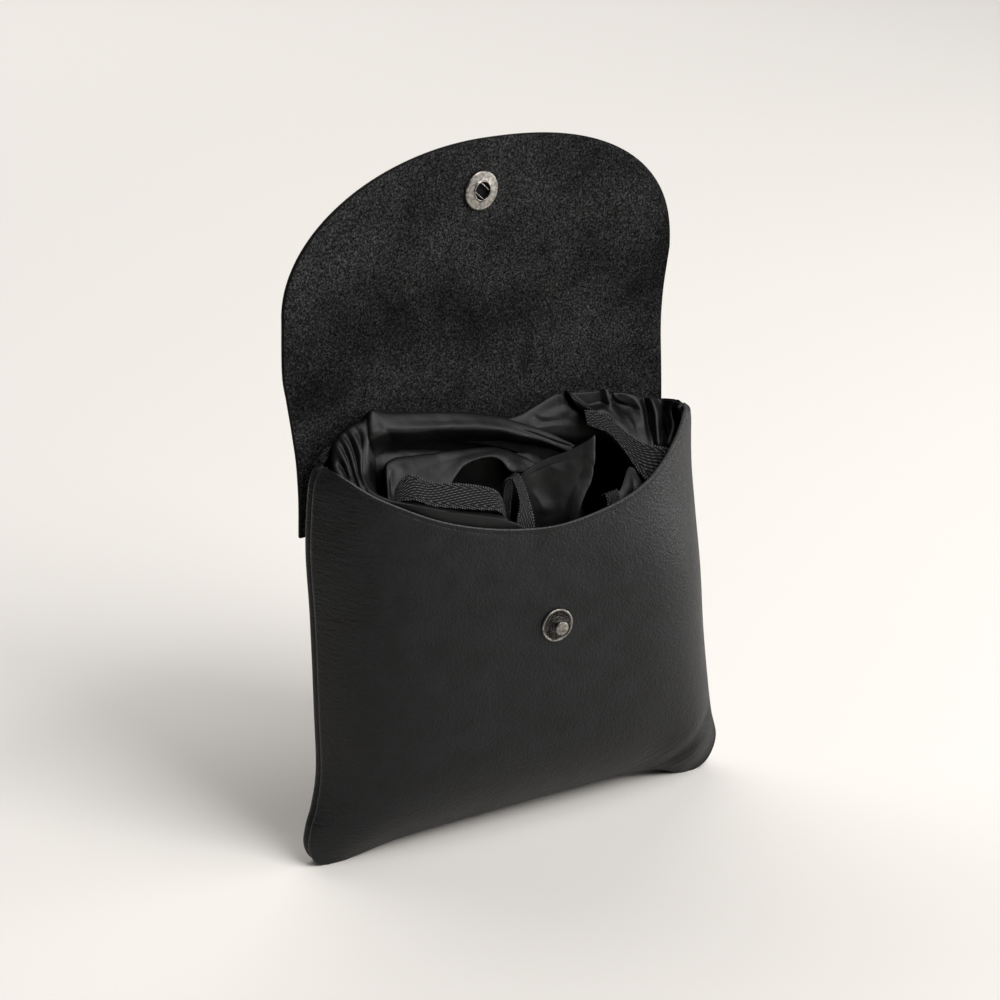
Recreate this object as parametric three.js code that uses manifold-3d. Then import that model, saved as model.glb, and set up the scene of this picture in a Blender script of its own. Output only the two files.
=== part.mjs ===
// A small leather pouch, its flap open, with a folded nylon shopper and its handles tucked inside.
// Millimetres. +Z is up and the front faces -Y. The shapes are worked out from the seam's own plane,
// y = 0, and the group is then moved so that the origin is below the middle of the pouch's box.

import * as THREE from 'three';
import { mergeVertices } from 'three/addons/utils/BufferGeometryUtils.js';
import Module from 'manifold-3d';

const wasm = await Module();
wasm.setup();

// ---------------------------------------------------------------- driving dimensions

const leather = { thick: 1.6, flattened: 1.1, gap: 0.3 };
const nylon = { thick: 1.2, gap: 0.7 };
const tape = { thick: 1.3 };

// The turned seam: each panel rolls over at the edge, and its allowance goes back inside.
const seam = { radius: 2.0, leaves: 34, allowance: 6.0, steps: 4 };
const lobe = { allowance: 3.2, height: 24.0, reach: 62.0 };

// How far each panel swells out, and how fast it does so away from its edges.
const front = {
  swell: 22.0, sideRate: 0.07, cornerRate: 0.045, cornerFrom: 90.0, cornerOver: 50.0, bottomRate: 0.052,
  mouthLow: 122.0, mouthTuck: 0.06,
};
const back = {
  swell: 17.0, skew: 0.05, leftRate: 0.08, rightRate: 0.12, bottomRate: 0.25,
  flapGap: 0.45, flapSlope: 0.2, flapFrom: 115.5, blend: 1.0,
};
const belly = { drop: 12.0, dropRate: 1.2, halfWidth: 62.0, fade: 22.0 };

const flap = {
  foot: 121.5, straight: 202.0, arch: 50.3, leftRound: 2.0, rightRound: 2.4, halfChord: 84.0,
  middle: 15.5, bow: 4.0, yaw: 0.085, yawGain: 0.075, turnsAt: 140.0, turnsOver: 50.0,
  curl: 4.0, curlFrom: 180.0, curlOver: 70.0,
};

// The snap fastener: where each half sits, and the shank that holds it through the leather.
const stud = { x: 4.2, z: 85.1, shank: 1.5 };
const socket = { x: -4.2, z: 234.4, shank: 1.9 };

// Where the folded shopper's layers run down inside the pouch, and how much they narrow to their feet.
const cup = { wallDrop: 15.0, waist: 88.0, narrowing: 0.93, frontFoot: -8.0, backFoot: 12.0, foot: 17.0 };
const foldFoot = { y: 3.0, z: 20.0, backY: 4.0, backZ: 100.0 };
const panelFoot = { spread: 1.3, y: -14.2, z: 60.0 };

// Depths beyond the two panels: cloth that is placed there lies against the leather.
const behind = 40.0;
const ahead = -40.0;

const outlineSteps = 900;
const panelGrid = { across: 20, down: 14 };
const flapGrid = { across: 20, down: 11 };
const linerGrid = { around: 44, down: 10 };

// The seam's outer edge, from the top left corner down, along the bottom and up the right side.
const outlineRows = [
  { x: -75.6, z: 150.0 }, // top left corner
  { x: -78.6, z: 137.0 },
  { x: -79.8, z: 120.0 },
  { x: -79.0, z: 95.0 },
  { x: -78.6, z: 60.0 },
  { x: -78.7, z: 34.0 }, // neck above the left lobe
  { x: -80.9, z: 22.0 },
  { x: -83.4, z: 14.0 },
  { x: -84.2, z: 7.0 }, // side of the left lobe
  { x: -81.6, z: 1.4 },
  { x: -75.5, z: -0.6 }, // underside of the left lobe, pressed flat
  { x: -66.0, z: 0.4 },
  { x: -52.0, z: 2.6 },
  { x: -24.0, z: 4.0 },
  { x: 6.0, z: 4.8 }, // raised middle of the bottom seam
  { x: 36.0, z: 5.4 },
  { x: 56.0, z: 5.6 },
  { x: 66.0, z: 2.6 }, // notch beside the right lobe
  { x: 75.0, z: -0.4 },
  { x: 82.0, z: -0.4 }, // underside of the right lobe
  { x: 88.2, z: 5.5 },
  { x: 89.4, z: 13.0 }, // side of the right lobe
  { x: 86.8, z: 24.0 },
  { x: 84.6, z: 38.0 },
  { x: 81.8, z: 60.0 },
  { x: 79.4, z: 86.0 },
  { x: 76.2, z: 110.0 },
  { x: 73.6, z: 130.0 },
  { x: 72.4, z: 148.5 }, // top right corner
];

// The raw edge of the front panel at the mouth.
const mouthRows = [
  { x: -75.6, z: 150.0 },
  { x: -63.4, z: 142.6 },
  { x: -54.2, z: 137.6 },
  { x: -40.6, z: 131.2 },
  { x: -25.7, z: 126.3 },
  { x: -8.3, z: 122.8 },
  { x: 6.0, z: 122.0 },
  { x: 22.5, z: 124.4 },
  { x: 41.6, z: 129.8 },
  { x: 54.7, z: 137.0 },
  { x: 63.2, z: 144.5 },
  { x: 72.4, z: 148.5 },
];

// The back panel's top edge, a little higher beside the left corner.
const backTopRows = [
  { x: -75.6, z: 150.0 },
  { x: -66.0, z: 154.0 },
  { x: -40.0, z: 152.0 },
  { x: 0.0, z: 148.5 },
  { x: 40.0, z: 147.8 },
  { x: 62.0, z: 146.6 },
  { x: 72.4, z: 148.5 },
];

// The flap's left and right edges, up to where the arch starts.
const flapRows = [
  { z: 121.5, left: -78.4, right: 76.4 },
  { z: 136.0, left: -78.0, right: 76.4 },
  { z: 148.0, left: -78.6, right: 76.6 },
  { z: 160.0, left: -80.7, right: 77.2 },
  { z: 172.0, left: -83.3, right: 78.0 },
  { z: 182.0, left: -85.3, right: 79.2 },
  { z: 202.0, left: -85.2, right: 82.0 },
];

// ---------------------------------------------------------------- small helpers

const lerp = THREE.MathUtils.lerp;
const clamp = THREE.MathUtils.clamp;
const ease = (value) => THREE.MathUtils.smoothstep(value, 0, 1);
const point = (x, y, z) => new THREE.Vector3(x, y, z);

// One column of a table as a smooth function of another column.
function columnCurve(rows, key, column) {
  const places = rows.map((row) => point(row[key], row[column], 0));
  const samples = new THREE.CatmullRomCurve3(places, false, 'centripetal').getPoints(12 * rows.length);
  return (value) => interpolate(samples, 'x', 'y', value);
}

function interpolate(samples, key, column, value) {
  const rising = samples[samples.length - 1][key] > samples[0][key];
  const along = rising ? samples : samples.slice().reverse();
  let next = along.findIndex((sample) => sample[key] >= value);
  next = next < 0 ? along.length - 1 : Math.max(next, 1);
  const a = along[next - 1];
  const b = along[next];
  const share = clamp((value - a[key]) / (b[key] - a[key] || 1), 0, 1);
  return lerp(a[column], b[column], share);
}

// A closed body from triangles given as triples of points.
function bodyFrom(triangles) {
  const positions = [];
  for (const [a, b, c] of triangles) {
    const area = b.clone().sub(a).cross(c.clone().sub(a)).length();
    if (area > 1e-7) positions.push(...a.toArray(), ...b.toArray(), ...c.toArray());
  }
  const soup = new THREE.BufferGeometry();
  soup.setAttribute('position', new THREE.Float32BufferAttribute(positions, 3));
  const welded = mergeVertices(soup, 1e-4);
  return signedVolume(welded) < 0 ? turnedInsideOut(welded) : welded;
}

function signedVolume(geometry) {
  const at = geometry.attributes.position;
  const index = geometry.index;
  let volume = 0;
  for (let i = 0; i < index.count; i += 3) {
    const [a, b, c] = [0, 1, 2].map((k) => new THREE.Vector3().fromBufferAttribute(at, index.getX(i + k)));
    volume += a.dot(b.cross(c)) / 6;
  }
  return volume;
}

function turnedInsideOut(geometry) {
  const index = Array.from(geometry.index.array);
  for (let i = 0; i < index.length; i += 3) [index[i], index[i + 1]] = [index[i + 1], index[i]];
  geometry.setIndex(index);
  return geometry;
}

// Two triangles for each cell of a grid of points, the other way round for the far skin.
function skinTriangles(grid, flipped) {
  const triangles = [];
  for (let i = 0; i + 1 < grid.length; i += 1) {
    for (let j = 0; j + 1 < grid[i].length; j += 1) {
      const [a, b, c, d] = [grid[i][j], grid[i + 1][j], grid[i + 1][j + 1], grid[i][j + 1]];
      triangles.push(...(flipped ? [[a, c, b], [a, d, c]] : [[a, b, c], [a, c, d]]));
    }
  }
  return triangles;
}

// The cut edge of a sheet, between a line on its near skin and the same line on its far skin.
function edgeTriangles(near, far) {
  return skinTriangles([near, far], false);
}

const column = (grid, j) => grid.map((line) => line[j]);

// A sheet with all four of its edges cut.
function sheetBody(near, far) {
  const last = near[0].length - 1;
  return bodyFrom([
    ...skinTriangles(near, false),
    ...skinTriangles(far, true),
    ...edgeTriangles(far[0], near[0]),
    ...edgeTriangles(near[near.length - 1], far[near.length - 1]),
    ...edgeTriangles(column(near, 0), column(far, 0)),
    ...edgeTriangles(column(far, last), column(near, last)),
  ]);
}

// A sheet that joins up with itself after its last line, with its two long edges cut.
function loopBody(near, far) {
  const last = near[0].length - 1;
  const nearLoop = [...near, near[0]];
  const farLoop = [...far, far[0]];
  return bodyFrom([
    ...skinTriangles(nearLoop, false),
    ...skinTriangles(farLoop, true),
    ...edgeTriangles(column(nearLoop, 0), column(farLoop, 0)),
    ...edgeTriangles(column(farLoop, last), column(nearLoop, last)),
  ]);
}

// The unit normal at each point of a grid, from its neighbours.
function gridNormals(grid, looped) {
  const lines = grid.length;
  return grid.map((line, i) => line.map((here, j) => {
    const before = looped ? grid[(i + lines - 1) % lines][j] : grid[Math.max(i - 1, 0)][j];
    const after = looped ? grid[(i + 1) % lines][j] : grid[Math.min(i + 1, lines - 1)][j];
    const above = line[Math.max(j - 1, 0)];
    const below = line[Math.min(j + 1, line.length - 1)];
    return after.clone().sub(before).cross(below.clone().sub(above)).normalize();
  }));
}

// The grid moved along its normals.
function offsetGrid(grid, distance, looped = false) {
  const normals = gridNormals(grid, looped);
  return grid.map((line, i) => line.map((here, j) => here.clone().addScaledVector(normals[i][j], distance)));
}

// ---------------------------------------------------------------- the shape of the pouch

const outlinePlaces = outlineRows.map((row) => point(row.x, 0, row.z));
const outline = new THREE.CatmullRomCurve3(outlinePlaces, false, 'centripetal');
outline.arcLengthDivisions = 2 * outlineSteps;
const outlineSamples = outline.getSpacedPoints(outlineSteps);

const lowestOn = (side) => outlineSamples
  .map((sample, index) => ({ sample, index }))
  .filter(({ sample }) => sample.x * side > lobe.reach)
  .reduce((low, item) => (item.sample.z < low.sample.z ? item : low)).index;
const widestOn = (side) => outlineSamples
  .map((sample, index) => ({ sample, index }))
  .reduce((wide, item) => (item.sample.x * side > wide.sample.x * side ? item : wide)).index;

const leftSide = outlineSamples.slice(0, lowestOn(-1) + 1);
const rightSide = outlineSamples.slice(lowestOn(1));
const underside = outlineSamples.slice(widestOn(-1), widestOn(1) + 1);

const leftEdge = (z) => interpolate(leftSide, 'z', 'x', z);
const rightEdge = (z) => interpolate(rightSide, 'z', 'x', z);
const bottomEdge = (x) => interpolate(underside, 'x', 'z', x);

// How far a panel has swollen out at a distance from its edge, from 0 to 1.
const swollen = (distance, rate) => 1 - Math.exp(-rate * Math.max(distance, 0));

// Where the seam's roll hands over to the face, measured from the seam's plane.
const leaves = THREE.MathUtils.degToRad(seam.leaves);
const rollReach = leather.gap / 2 + seam.radius * (1 + Math.sin(leaves));
const rollInset = seam.radius * (1 - Math.cos(leaves));

function frontFace(x, z) {
  const fromLeft = swollen(x - leftEdge(z) - rollInset, front.sideRate);
  const rightRate = lerp(front.sideRate, front.cornerRate, ease((z - front.cornerFrom) / front.cornerOver));
  const fromRight = swollen(rightEdge(z) - x - rollInset, rightRate);
  const fromBottom = swollen(z - bottomEdge(x) - rollInset, front.bottomRate);
  const towardsMouth = clamp((z - stud.z) / (front.mouthLow - stud.z), 0, 1);
  const atMouth = 1 - front.mouthTuck * towardsMouth ** 2;
  return -rollReach - front.swell * fromLeft * fromRight * fromBottom * atMouth;
}

function flapFace(x, z) {
  const turned = flap.yaw + flap.yawGain * ease((z - flap.turnsAt) / flap.turnsOver);
  const bow = flap.bow * (1 - (x / flap.halfChord) ** 2);
  const curl = flap.curl * Math.max((z - flap.curlFrom) / flap.curlOver, 0) ** 2;
  return flap.middle + turned * x + bow - curl;
}

function backFace(x, z) {
  const fromLeft = swollen(x - leftEdge(z) - rollInset, back.leftRate);
  const fromRight = swollen(rightEdge(z) - x - rollInset, back.rightRate);
  const fromBottom = swollen(z - bottomEdge(x) - rollInset, back.bottomRate);
  const free = rollReach + (back.swell + back.skew * x) * fromLeft * fromRight * fromBottom;
  const underFlap = flapFace(x, Math.max(z, flap.foot)) - back.flapGap;
  const room = back.flapSlope * Math.max(back.flapFrom - z, 0);
  return softLesser(free, underFlap + room, back.blend);
}

// The lesser of two values, rounded where they cross.
function softLesser(a, b, blend) {
  return -blend * Math.log(Math.exp(-a / blend) + Math.exp(-b / blend));
}

const mouthHeight = columnCurve(mouthRows, 'x', 'z');
const backTop = columnCurve(backTopRows, 'x', 'z');

// ---------------------------------------------------------------- leather panels

// Shares of the way along the sides and the bottom, closer together at the lobes.
const sideShares = Array.from({ length: panelGrid.down + 1 }, (_, j) => 1 - (1 - j / panelGrid.down) ** 1.7);
const bottomShares = Array.from({ length: panelGrid.across + 1 }, (_, i) => {
  const even = i / panelGrid.across;
  return lerp(even, 0.5 - 0.5 * Math.cos(Math.PI * even), 0.75);
});

// The stations of the seam, with the outward direction at each.
function seamStations() {
  const leftCorner = (lowestOn(-1) + widestOn(-1)) / (2 * outlineSteps);
  const rightCorner = (lowestOn(1) + widestOn(1)) / (2 * outlineSteps);
  const shares = [
    ...sideShares.map((share) => share * leftCorner),
    ...bottomShares.slice(1).map((share) => lerp(leftCorner, rightCorner, share)),
    ...sideShares.slice(0, -1).reverse().map((share) => lerp(1, rightCorner, share)),
  ];
  return shares.map((share) => {
    const at = outline.getPointAt(share);
    const along = outline.getTangentAt(share);
    return { at, out: point(along.z, 0, -along.x) };
  });
}

const stations = seamStations();

// A point on the roll: 0 degrees points outward, 90 away from the seam's plane, -90 towards it.
function onRoll(station, side, angle, radius) {
  const centre = station.at.clone().addScaledVector(station.out, -seam.radius);
  centre.addScaledVector(station.out, radius * Math.cos(angle));
  centre.y = side * (leather.gap / 2 + seam.radius + radius * Math.sin(angle));
  return centre;
}

const onGround = (place, least) => point(place.x, place.y, Math.max(place.z, least));

// The strip round three sides of a panel: its roll, then its allowance lying along the seam's plane.
function seamStrip(side) {
  const grain = [];
  const flesh = [];
  for (const station of stations) {
    const inLobe = station.at.z < lobe.height && Math.abs(station.at.x) > lobe.reach;
    const allowance = inLobe ? lobe.allowance : seam.allowance;
    const outer = [];
    const inner = [];
    for (let step = 0; step <= seam.steps; step += 1) {
      const angle = lerp(leaves, -Math.PI / 2, step / seam.steps);
      outer.push(onGround(onRoll(station, side, angle, seam.radius), 0));
      inner.push(onGround(onRoll(station, side, angle, seam.radius - leather.thick), leather.flattened));
    }
    outer.push(outer[seam.steps].clone().addScaledVector(station.out, -allowance));
    inner.push(inner[seam.steps].clone().addScaledVector(station.out, -allowance));
    grain.push(outer);
    flesh.push(inner);
  }
  return { grain, flesh };
}

// The face of a panel: a patch whose sides and bottom lie on the strip's first line.
function facePatch(strip, side, topHeight, faceAt, settle) {
  const { across, down } = panelGrid;
  const rim = column(strip.grain, 0);
  const left = rim.slice(0, down + 1);
  const bottom = rim.slice(down, down + across + 1);
  const right = rim.slice(down + across).reverse();
  const grain = bottomShares.map((s, i) => sideShares.map((t, j) => {
    const topX = lerp(left[0].x, right[0].x, s);
    const topZ = i === 0 ? left[0].z : i === across ? right[0].z : topHeight(topX);
    if (i === 0) return left[j];
    if (i === across) return right[j];
    if (j === down) return bottom[i];
    const blend = (axis, top) => lerp(top, bottom[i][axis], t) + lerp(left[j][axis], right[j][axis], s)
      - lerp(lerp(left[0][axis], right[0][axis], s), lerp(left[down][axis], right[down][axis], s), t);
    const x = blend('x', topX);
    const z = blend('z', topZ);
    return settle(point(x, faceAt(x, z), z));
  }));
  const flesh = offsetGrid(grain, -side * leather.thick)
    .map((line) => line.map((place) => onGround(place, leather.flattened)));
  const innerRim = column(strip.flesh, 0);
  for (let j = 0; j <= down; j += 1) {
    flesh[0][j] = innerRim[j];
    flesh[across][j] = innerRim[2 * down + across - j];
  }
  for (let i = 0; i <= across; i += 1) flesh[i][down] = innerRim[down + i];
  return { grain, flesh };
}

function panelBody(side, topHeight, faceAt, settle) {
  const strip = seamStrip(side);
  const patch = facePatch(strip, side, topHeight, faceAt, settle);
  const end = strip.grain.length - 1;
  const last = strip.grain[0].length - 1;
  return bodyFrom([
    ...skinTriangles(patch.grain, false),
    ...skinTriangles(patch.flesh, true),
    ...edgeTriangles(column(patch.grain, 0), column(patch.flesh, 0)),
    ...skinTriangles(strip.grain, false),
    ...skinTriangles(strip.flesh, true),
    ...edgeTriangles(strip.flesh[0], strip.grain[0]),
    ...edgeTriangles(strip.grain[end], strip.flesh[end]),
    ...edgeTriangles(column(strip.flesh, last), column(strip.grain, last)),
  ]);
}

// The back panel sags behind the raised seam, so that the pouch rests on it.
function sagging(place) {
  const above = place.z - bottomEdge(place.x) - rollInset;
  const across = Math.max(1 - (place.x / belly.halfWidth) ** 4, 0);
  const fading = Math.exp(-Math.max(above, 0) / belly.fade);
  const drop = belly.drop * across * swollen(above, belly.dropRate) * fading;
  return point(place.x, place.y, Math.max(place.z - drop, 0));
}

// ---------------------------------------------------------------- booleans

function toSolid(geometry) {
  const at = geometry.attributes.position;
  return new wasm.Manifold(new wasm.Mesh({
    numProp: 3,
    vertProperties: new Float32Array(at.array),
    triVerts: new Uint32Array(geometry.index.array),
  }));
}

function toGeometry(solid) {
  const mesh = solid.getMesh();
  const geometry = new THREE.BufferGeometry();
  geometry.setAttribute('position', new THREE.Float32BufferAttribute(mesh.vertProperties, 3));
  geometry.setIndex(Array.from(mesh.triVerts));
  return geometry;
}

// ---------------------------------------------------------------- flap

const flapLeft = columnCurve(flapRows, 'z', 'left');
const flapRight = columnCurve(flapRows, 'z', 'right');

// The flap's suede face: columns from its raw lower end up to the arched top.
function flapGridPoints() {
  const { across, down } = flapGrid;
  return Array.from({ length: across + 1 }, (_, i) => {
    const share = Math.sin((Math.PI / 2) * (2 * (i / across) - 1));
    const round = share < 0 ? flap.leftRound : flap.rightRound;
    const top = flap.straight + flap.arch * (1 - Math.abs(share) ** round) ** (1 / round);
    return Array.from({ length: down + 1 }, (_, j) => {
      const z = lerp(top, flap.foot, j / down);
      const x = lerp(flapLeft(z), flapRight(z), (share + 1) / 2);
      return point(x, flapFace(x, z), z);
    });
  });
}

function flapBody() {
  const suede = flapGridPoints();
  const grain = offsetGrid(suede, leather.thick);
  return sheetBody(suede, grain);
}

// ---------------------------------------------------------------- snap fastener

// A turned metal part. Rows give the radius and the height above the leather, and the last one
// meets the first or the axis.
function turned(rows, sides) {
  const ring = rows[0].r > 0 ? [...rows, rows[0]] : rows;
  const profile = ring.map((row) => new THREE.Vector2(row.r, row.h));
  const lathe = new THREE.LatheGeometry(profile, sides);
  const at = lathe.attributes.position;
  const corner = (k) => new THREE.Vector3().fromBufferAttribute(at, lathe.index.getX(k));
  const triangles = [];
  for (let k = 0; k < lathe.index.count; k += 3) triangles.push([corner(k), corner(k + 1), corner(k + 2)]);
  return bodyFrom(triangles);
}

const studRows = [
  { r: 0.0, h: 0.0 },
  { r: 5.6, h: 0.0 },
  { r: 6.2, h: 0.5 }, // outer rim
  { r: 5.9, h: 1.0 },
  { r: 5.1, h: 1.0 },
  { r: 4.6, h: 0.55 }, // knurled recess
  { r: 2.9, h: 0.55 },
  { r: 2.5, h: 1.2 }, // foot of the post
  { r: 1.7, h: 1.6 },
  { r: 1.6, h: 2.9 },
  { r: 2.0, h: 3.6 }, // head of the post
  { r: 1.6, h: 4.3 },
  { r: 0.0, h: 4.5 },
];

const socketRows = [
  { r: 2.3, h: 0.0 },
  { r: 6.3, h: 0.0 },
  { r: 7.05, h: 0.7 }, // outer rim
  { r: 6.7, h: 1.5 },
  { r: 5.9, h: 1.8 }, // flat ring
  { r: 4.2, h: 1.9 },
  { r: 3.5, h: 2.5 }, // raised lip of the hole
  { r: 2.9, h: 2.5 },
  { r: 2.6, h: 1.6 },
  { r: 2.3, h: 1.2 },
];

const capRows = [
  { r: 0.0, h: 0.0 },
  { r: 6.6, h: 0.0 },
  { r: 7.4, h: 0.5 },
  { r: 6.6, h: 1.1 },
  { r: 3.6, h: 1.8 },
  { r: 0.0, h: 2.0 },
];

const washerRows = [
  { r: 0.0, h: 0.0 },
  { r: 4.6, h: 0.0 },
  { r: 5.0, h: 0.4 },
  { r: 4.6, h: 0.8 },
  { r: 0.0, h: 1.0 },
];

// A washer or cap whose shank reaches back through the leather.
function withShank(rows, sides, radius, length) {
  const shank = rows.slice(1);
  return turned([{ r: 0.0, h: -length }, { r: radius, h: -length }, { r: radius, h: 0.0 }, ...shank], sides);
}

const alongX = (faceAt, x, z) => (faceAt(x + 1, z) - faceAt(x - 1, z)) / 2;
const alongZ = (faceAt, x, z) => (faceAt(x, z + 1) - faceAt(x, z - 1)) / 2;

// The direction straight out of a face that looks towards -Y.
const facing = (faceAt, x, z) => point(alongX(faceAt, x, z), -1, alongZ(faceAt, x, z)).normalize();

// Where a part sits: on the face at a distance along its normal, and turned to look along it.
function seatOn(mesh, faceAt, place, distance, sense) {
  const normal = facing(faceAt, place.x, place.z);
  const seat = point(place.x, faceAt(place.x, place.z), place.z).addScaledVector(normal, distance);
  mesh.position.copy(seat);
  mesh.quaternion.setFromUnitVectors(point(0, 1, 0), normal.multiplyScalar(sense));
  return mesh;
}

// The leather with a round hole where a shank goes through.
function punched(geometry, faceAt, place, radius) {
  const drill = new THREE.CylinderGeometry(radius, radius, 12, 20);
  drill.deleteAttribute('normal');
  drill.deleteAttribute('uv');
  const tool = seatOn(new THREE.Mesh(drill), faceAt, place, 0, 1);
  tool.updateMatrixWorld();
  drill.applyMatrix4(tool.matrixWorld);
  return toGeometry(toSolid(geometry).subtract(toSolid(mergeVertices(drill, 1e-4))));
}

// ---------------------------------------------------------------- folded shopper

const steepness = (faceAt, x, z) => Math.hypot(1, alongX(faceAt, x, z), alongZ(faceAt, x, z));
const frontInside = (x, z) => frontFace(x, z) + leather.thick * steepness(frontFace, x, z);
const backInside = (x, z) => backFace(x, z) - leather.thick * steepness(backFace, x, z);

// A place kept between the two leather panels, here and a little higher, with room for the cloth.
const held = { lookUp: 25.0, belowTop: 10.0, free: 4.0 };
function heldIn([x, y, z]) {
  if (z > backTop(x) + held.free) return point(x, y, z);
  const room = nylon.gap + nylon.thick / 2;
  const above = Math.min(z + held.lookUp, backTop(x) - held.belowTop);
  const nearest = Math.max(frontInside(x, z), frontInside(x, Math.min(above, mouthHeight(x)))) + room;
  const farthest = Math.min(backInside(x, z), backInside(x, above)) - room;
  return point(x, clamp(y, nearest, farthest), z);
}

// A smooth grid through a table's places: one line for each step along, one point for each step down.
function loft(rows, columns, along, down, looped = false) {
  const guides = columns.map((name) => {
    const places = rows.map((row) => heldIn(row[name]));
    return new THREE.CatmullRomCurve3(places, looped, 'centripetal');
  });
  const lines = looped ? along : along + 1;
  return Array.from({ length: lines }, (_, i) => {
    const places = guides.map((guide) => guide.getPoint(i / along));
    return new THREE.CatmullRomCurve3(places, false, 'centripetal').getPoints(down);
  });
}

// A cut sheet of cloth or tape, its middle surface on the grid.
function clothBody(grid, thick) {
  return sheetBody(offsetGrid(grid, thick / 2), offsetGrid(grid, -thick / 2));
}

// Below its crown the cup hangs against the leather, and narrows to its floor.
function hanging(row) {
  const [x, , z] = row.crown;
  return {
    ...row,
    wall: [x, row.wall, z - cup.wallDrop],
    waist: [x, row.wall, cup.waist],
    foot: [cup.narrowing * x, clamp(row.wall, cup.frontFoot, cup.backFoot), cup.foot],
  };
}

// The outermost layer, a deep cup lining the pouch, from the peak at the left along the back.
// Each row is a fold, and its wall is the depth at which the cloth hangs.
const linerRows = [
  { lip: [-53, 4.5, 155], rim: [-51, 9, 164.5], crown: [-53, 10.2, 157.5], wall: behind },
  { lip: [-42.5, 3.2, 155.8], rim: [-38.4, 11, 159.8], crown: [-38, 14, 154], wall: behind },
  { lip: [-26, 4, 154], rim: [-21, 12, 157.3], crown: [-20, 15, 152], wall: behind },
  { lip: [-3, 4, 150.8], rim: [0.7, 11, 153.5], crown: [0, 15, 149], wall: behind },
  { lip: [14, 8, 148], rim: [14, 13, 154.5], crown: [14, 16.5, 150], wall: behind },
  { lip: [34, 9, 146], rim: [35, 14, 153.5], crown: [35, 17, 149], wall: behind },
  { lip: [47, 7, 147], rim: [50, 13, 154], crown: [50, 15.5, 149], wall: 16.4 },
  { lip: [56, 2, 143], rim: [62, 9, 150.5], crown: [61.6, 11.5, 147.5], wall: 11 },
  { lip: [58.5, -1.5, 140.5], rim: [62.6, 2, 146], crown: [63, 5, 143], wall: 4 },
  { lip: [57.5, -6, 136.5], rim: [61, -6, 139], crown: [62, -4.5, 136], wall: -4.5 },
  { lip: [54.6, -12, 116], rim: [56.4, ahead, 117], crown: [57.4, ahead, 114], wall: ahead },
  { lip: [30, -19.6, 117], rim: [30, ahead, 118], crown: [31, ahead, 115], wall: ahead },
  { lip: [3, -19.8, 116.5], rim: [3, ahead, 118], crown: [3, ahead, 115], wall: ahead },
  { lip: [-14, -19.8, 125], rim: [-14, ahead, 126.5], crown: [-14, ahead, 123], wall: ahead },
  { lip: [-30, -19.6, 130], rim: [-30, ahead, 131.5], crown: [-30, ahead, 127.5], wall: ahead },
  { lip: [-46, -18.2, 135], rim: [-46, ahead, 136.5], crown: [-46, ahead, 132.5], wall: ahead },
  { lip: [-57, -10.5, 139.5], rim: [-59.5, -12, 141], crown: [-60.5, -13, 138], wall: -12 },
  { lip: [-58.5, -7, 143], rim: [-61.5, -7.5, 145.5], crown: [-65.5, -6, 143], wall: -5 },
  { lip: [-55, -0.5, 147], rim: [-57, 0, 151.5], crown: [-66.5, 1, 153], wall: 3 },
  { lip: [-52.5, 4, 150.5], rim: [-54, 5, 158], crown: [-64, 6, 158], wall: 8 },
].map(hanging);

// The layer folded over in the left half: it stands in the cup, turns over its top and ends in a lip.
const innerFoldRows = [
  { top: [-53.5, -2, 145.5], face: [-55, -7, 142], lip: [-56, -10, 136] },
  { top: [-48.3, 0, 147.4], face: [-49.5, -5, 145.5], lip: [-51, -9, 140] },
  { top: [-43.5, 1.5, 147.4], face: [-43.8, -3, 146.4], lip: [-44, -7, 143] },
  { top: [-32.4, 1.5, 147], face: [-33, -3, 144.8], lip: [-33.7, -7.5, 140.5] },
  { top: [-21, 0.5, 147.2], face: [-22, -3, 146.2], lip: [-22.6, -6, 143.9] },
  { top: [-13.6, -0.5, 147], face: [-14.6, -3, 146.6], lip: [-15.4, -5.5, 144.9] },
  { top: [-7.6, -1.5, 145.9], face: [-8.4, -3.5, 145.6], lip: [-9.4, -6, 143.6] },
  { top: [-1.6, -2.5, 142.8], face: [-3, -4.5, 142.2], lip: [-5, -7, 139.6] },
].map((row) => ({
  ...row,
  foot: [cup.narrowing * row.top[0], foldFoot.y, foldFoot.z],
  back: [row.top[0], foldFoot.backY, foldFoot.backZ],
}));

// The panel of the shopper that stands up in the middle, its hem along the top.
const centrePanelRows = [
  { top: [-1.5, -8.6, 137.6], middle: [0.5, -12.5, 130], low: [1.5, -16.4, 121] },
  { top: [8.2, -5.5, 140.2], middle: [7.5, -10.5, 131], low: [6, -16.4, 121] },
  { top: [17.5, -3.5, 141.6], middle: [14.5, -9, 132], low: [11, -16.2, 121] },
  { top: [25.5, -2, 143], middle: [21.5, -8, 132.5], low: [15, -15.8, 121] },
  { top: [31.4, -1, 144.7], middle: [27.6, -8, 132], low: [19, -15.6, 121.5] },
].map((row) => ({
  ...row,
  foot: [panelFoot.spread * row.low[0], panelFoot.y, panelFoot.z],
}));

// The handles are flat tape. Each stretch that shows dives back among the folds at both ends.
const leftTapeRows = [
  { top: [-52, -9, 122], low: [-54, -11.6, 118] },
  { top: [-52, -10, 138], low: [-54, -12.6, 136] },
  { top: [-45.6, -8.4, 144.8], low: [-47.2, -14.8, 137.6] },
  { top: [-38.6, -10, 141.5], low: [-40.6, -16, 134.8] },
  { top: [-29.2, -10.4, 139.4], low: [-30.6, -16.2, 132.2] },
  { top: [-20.2, -11, 137.2], low: [-21.8, -16.4, 130.2] },
  { top: [-13.2, -12, 134], low: [-14.6, -16.6, 128.2] },
  { top: [-10.5, -13, 126], low: [-11.6, -16.6, 122] },
  { top: [-10.5, -12, 110], low: [-11.5, -15.5, 106] },
];

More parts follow.
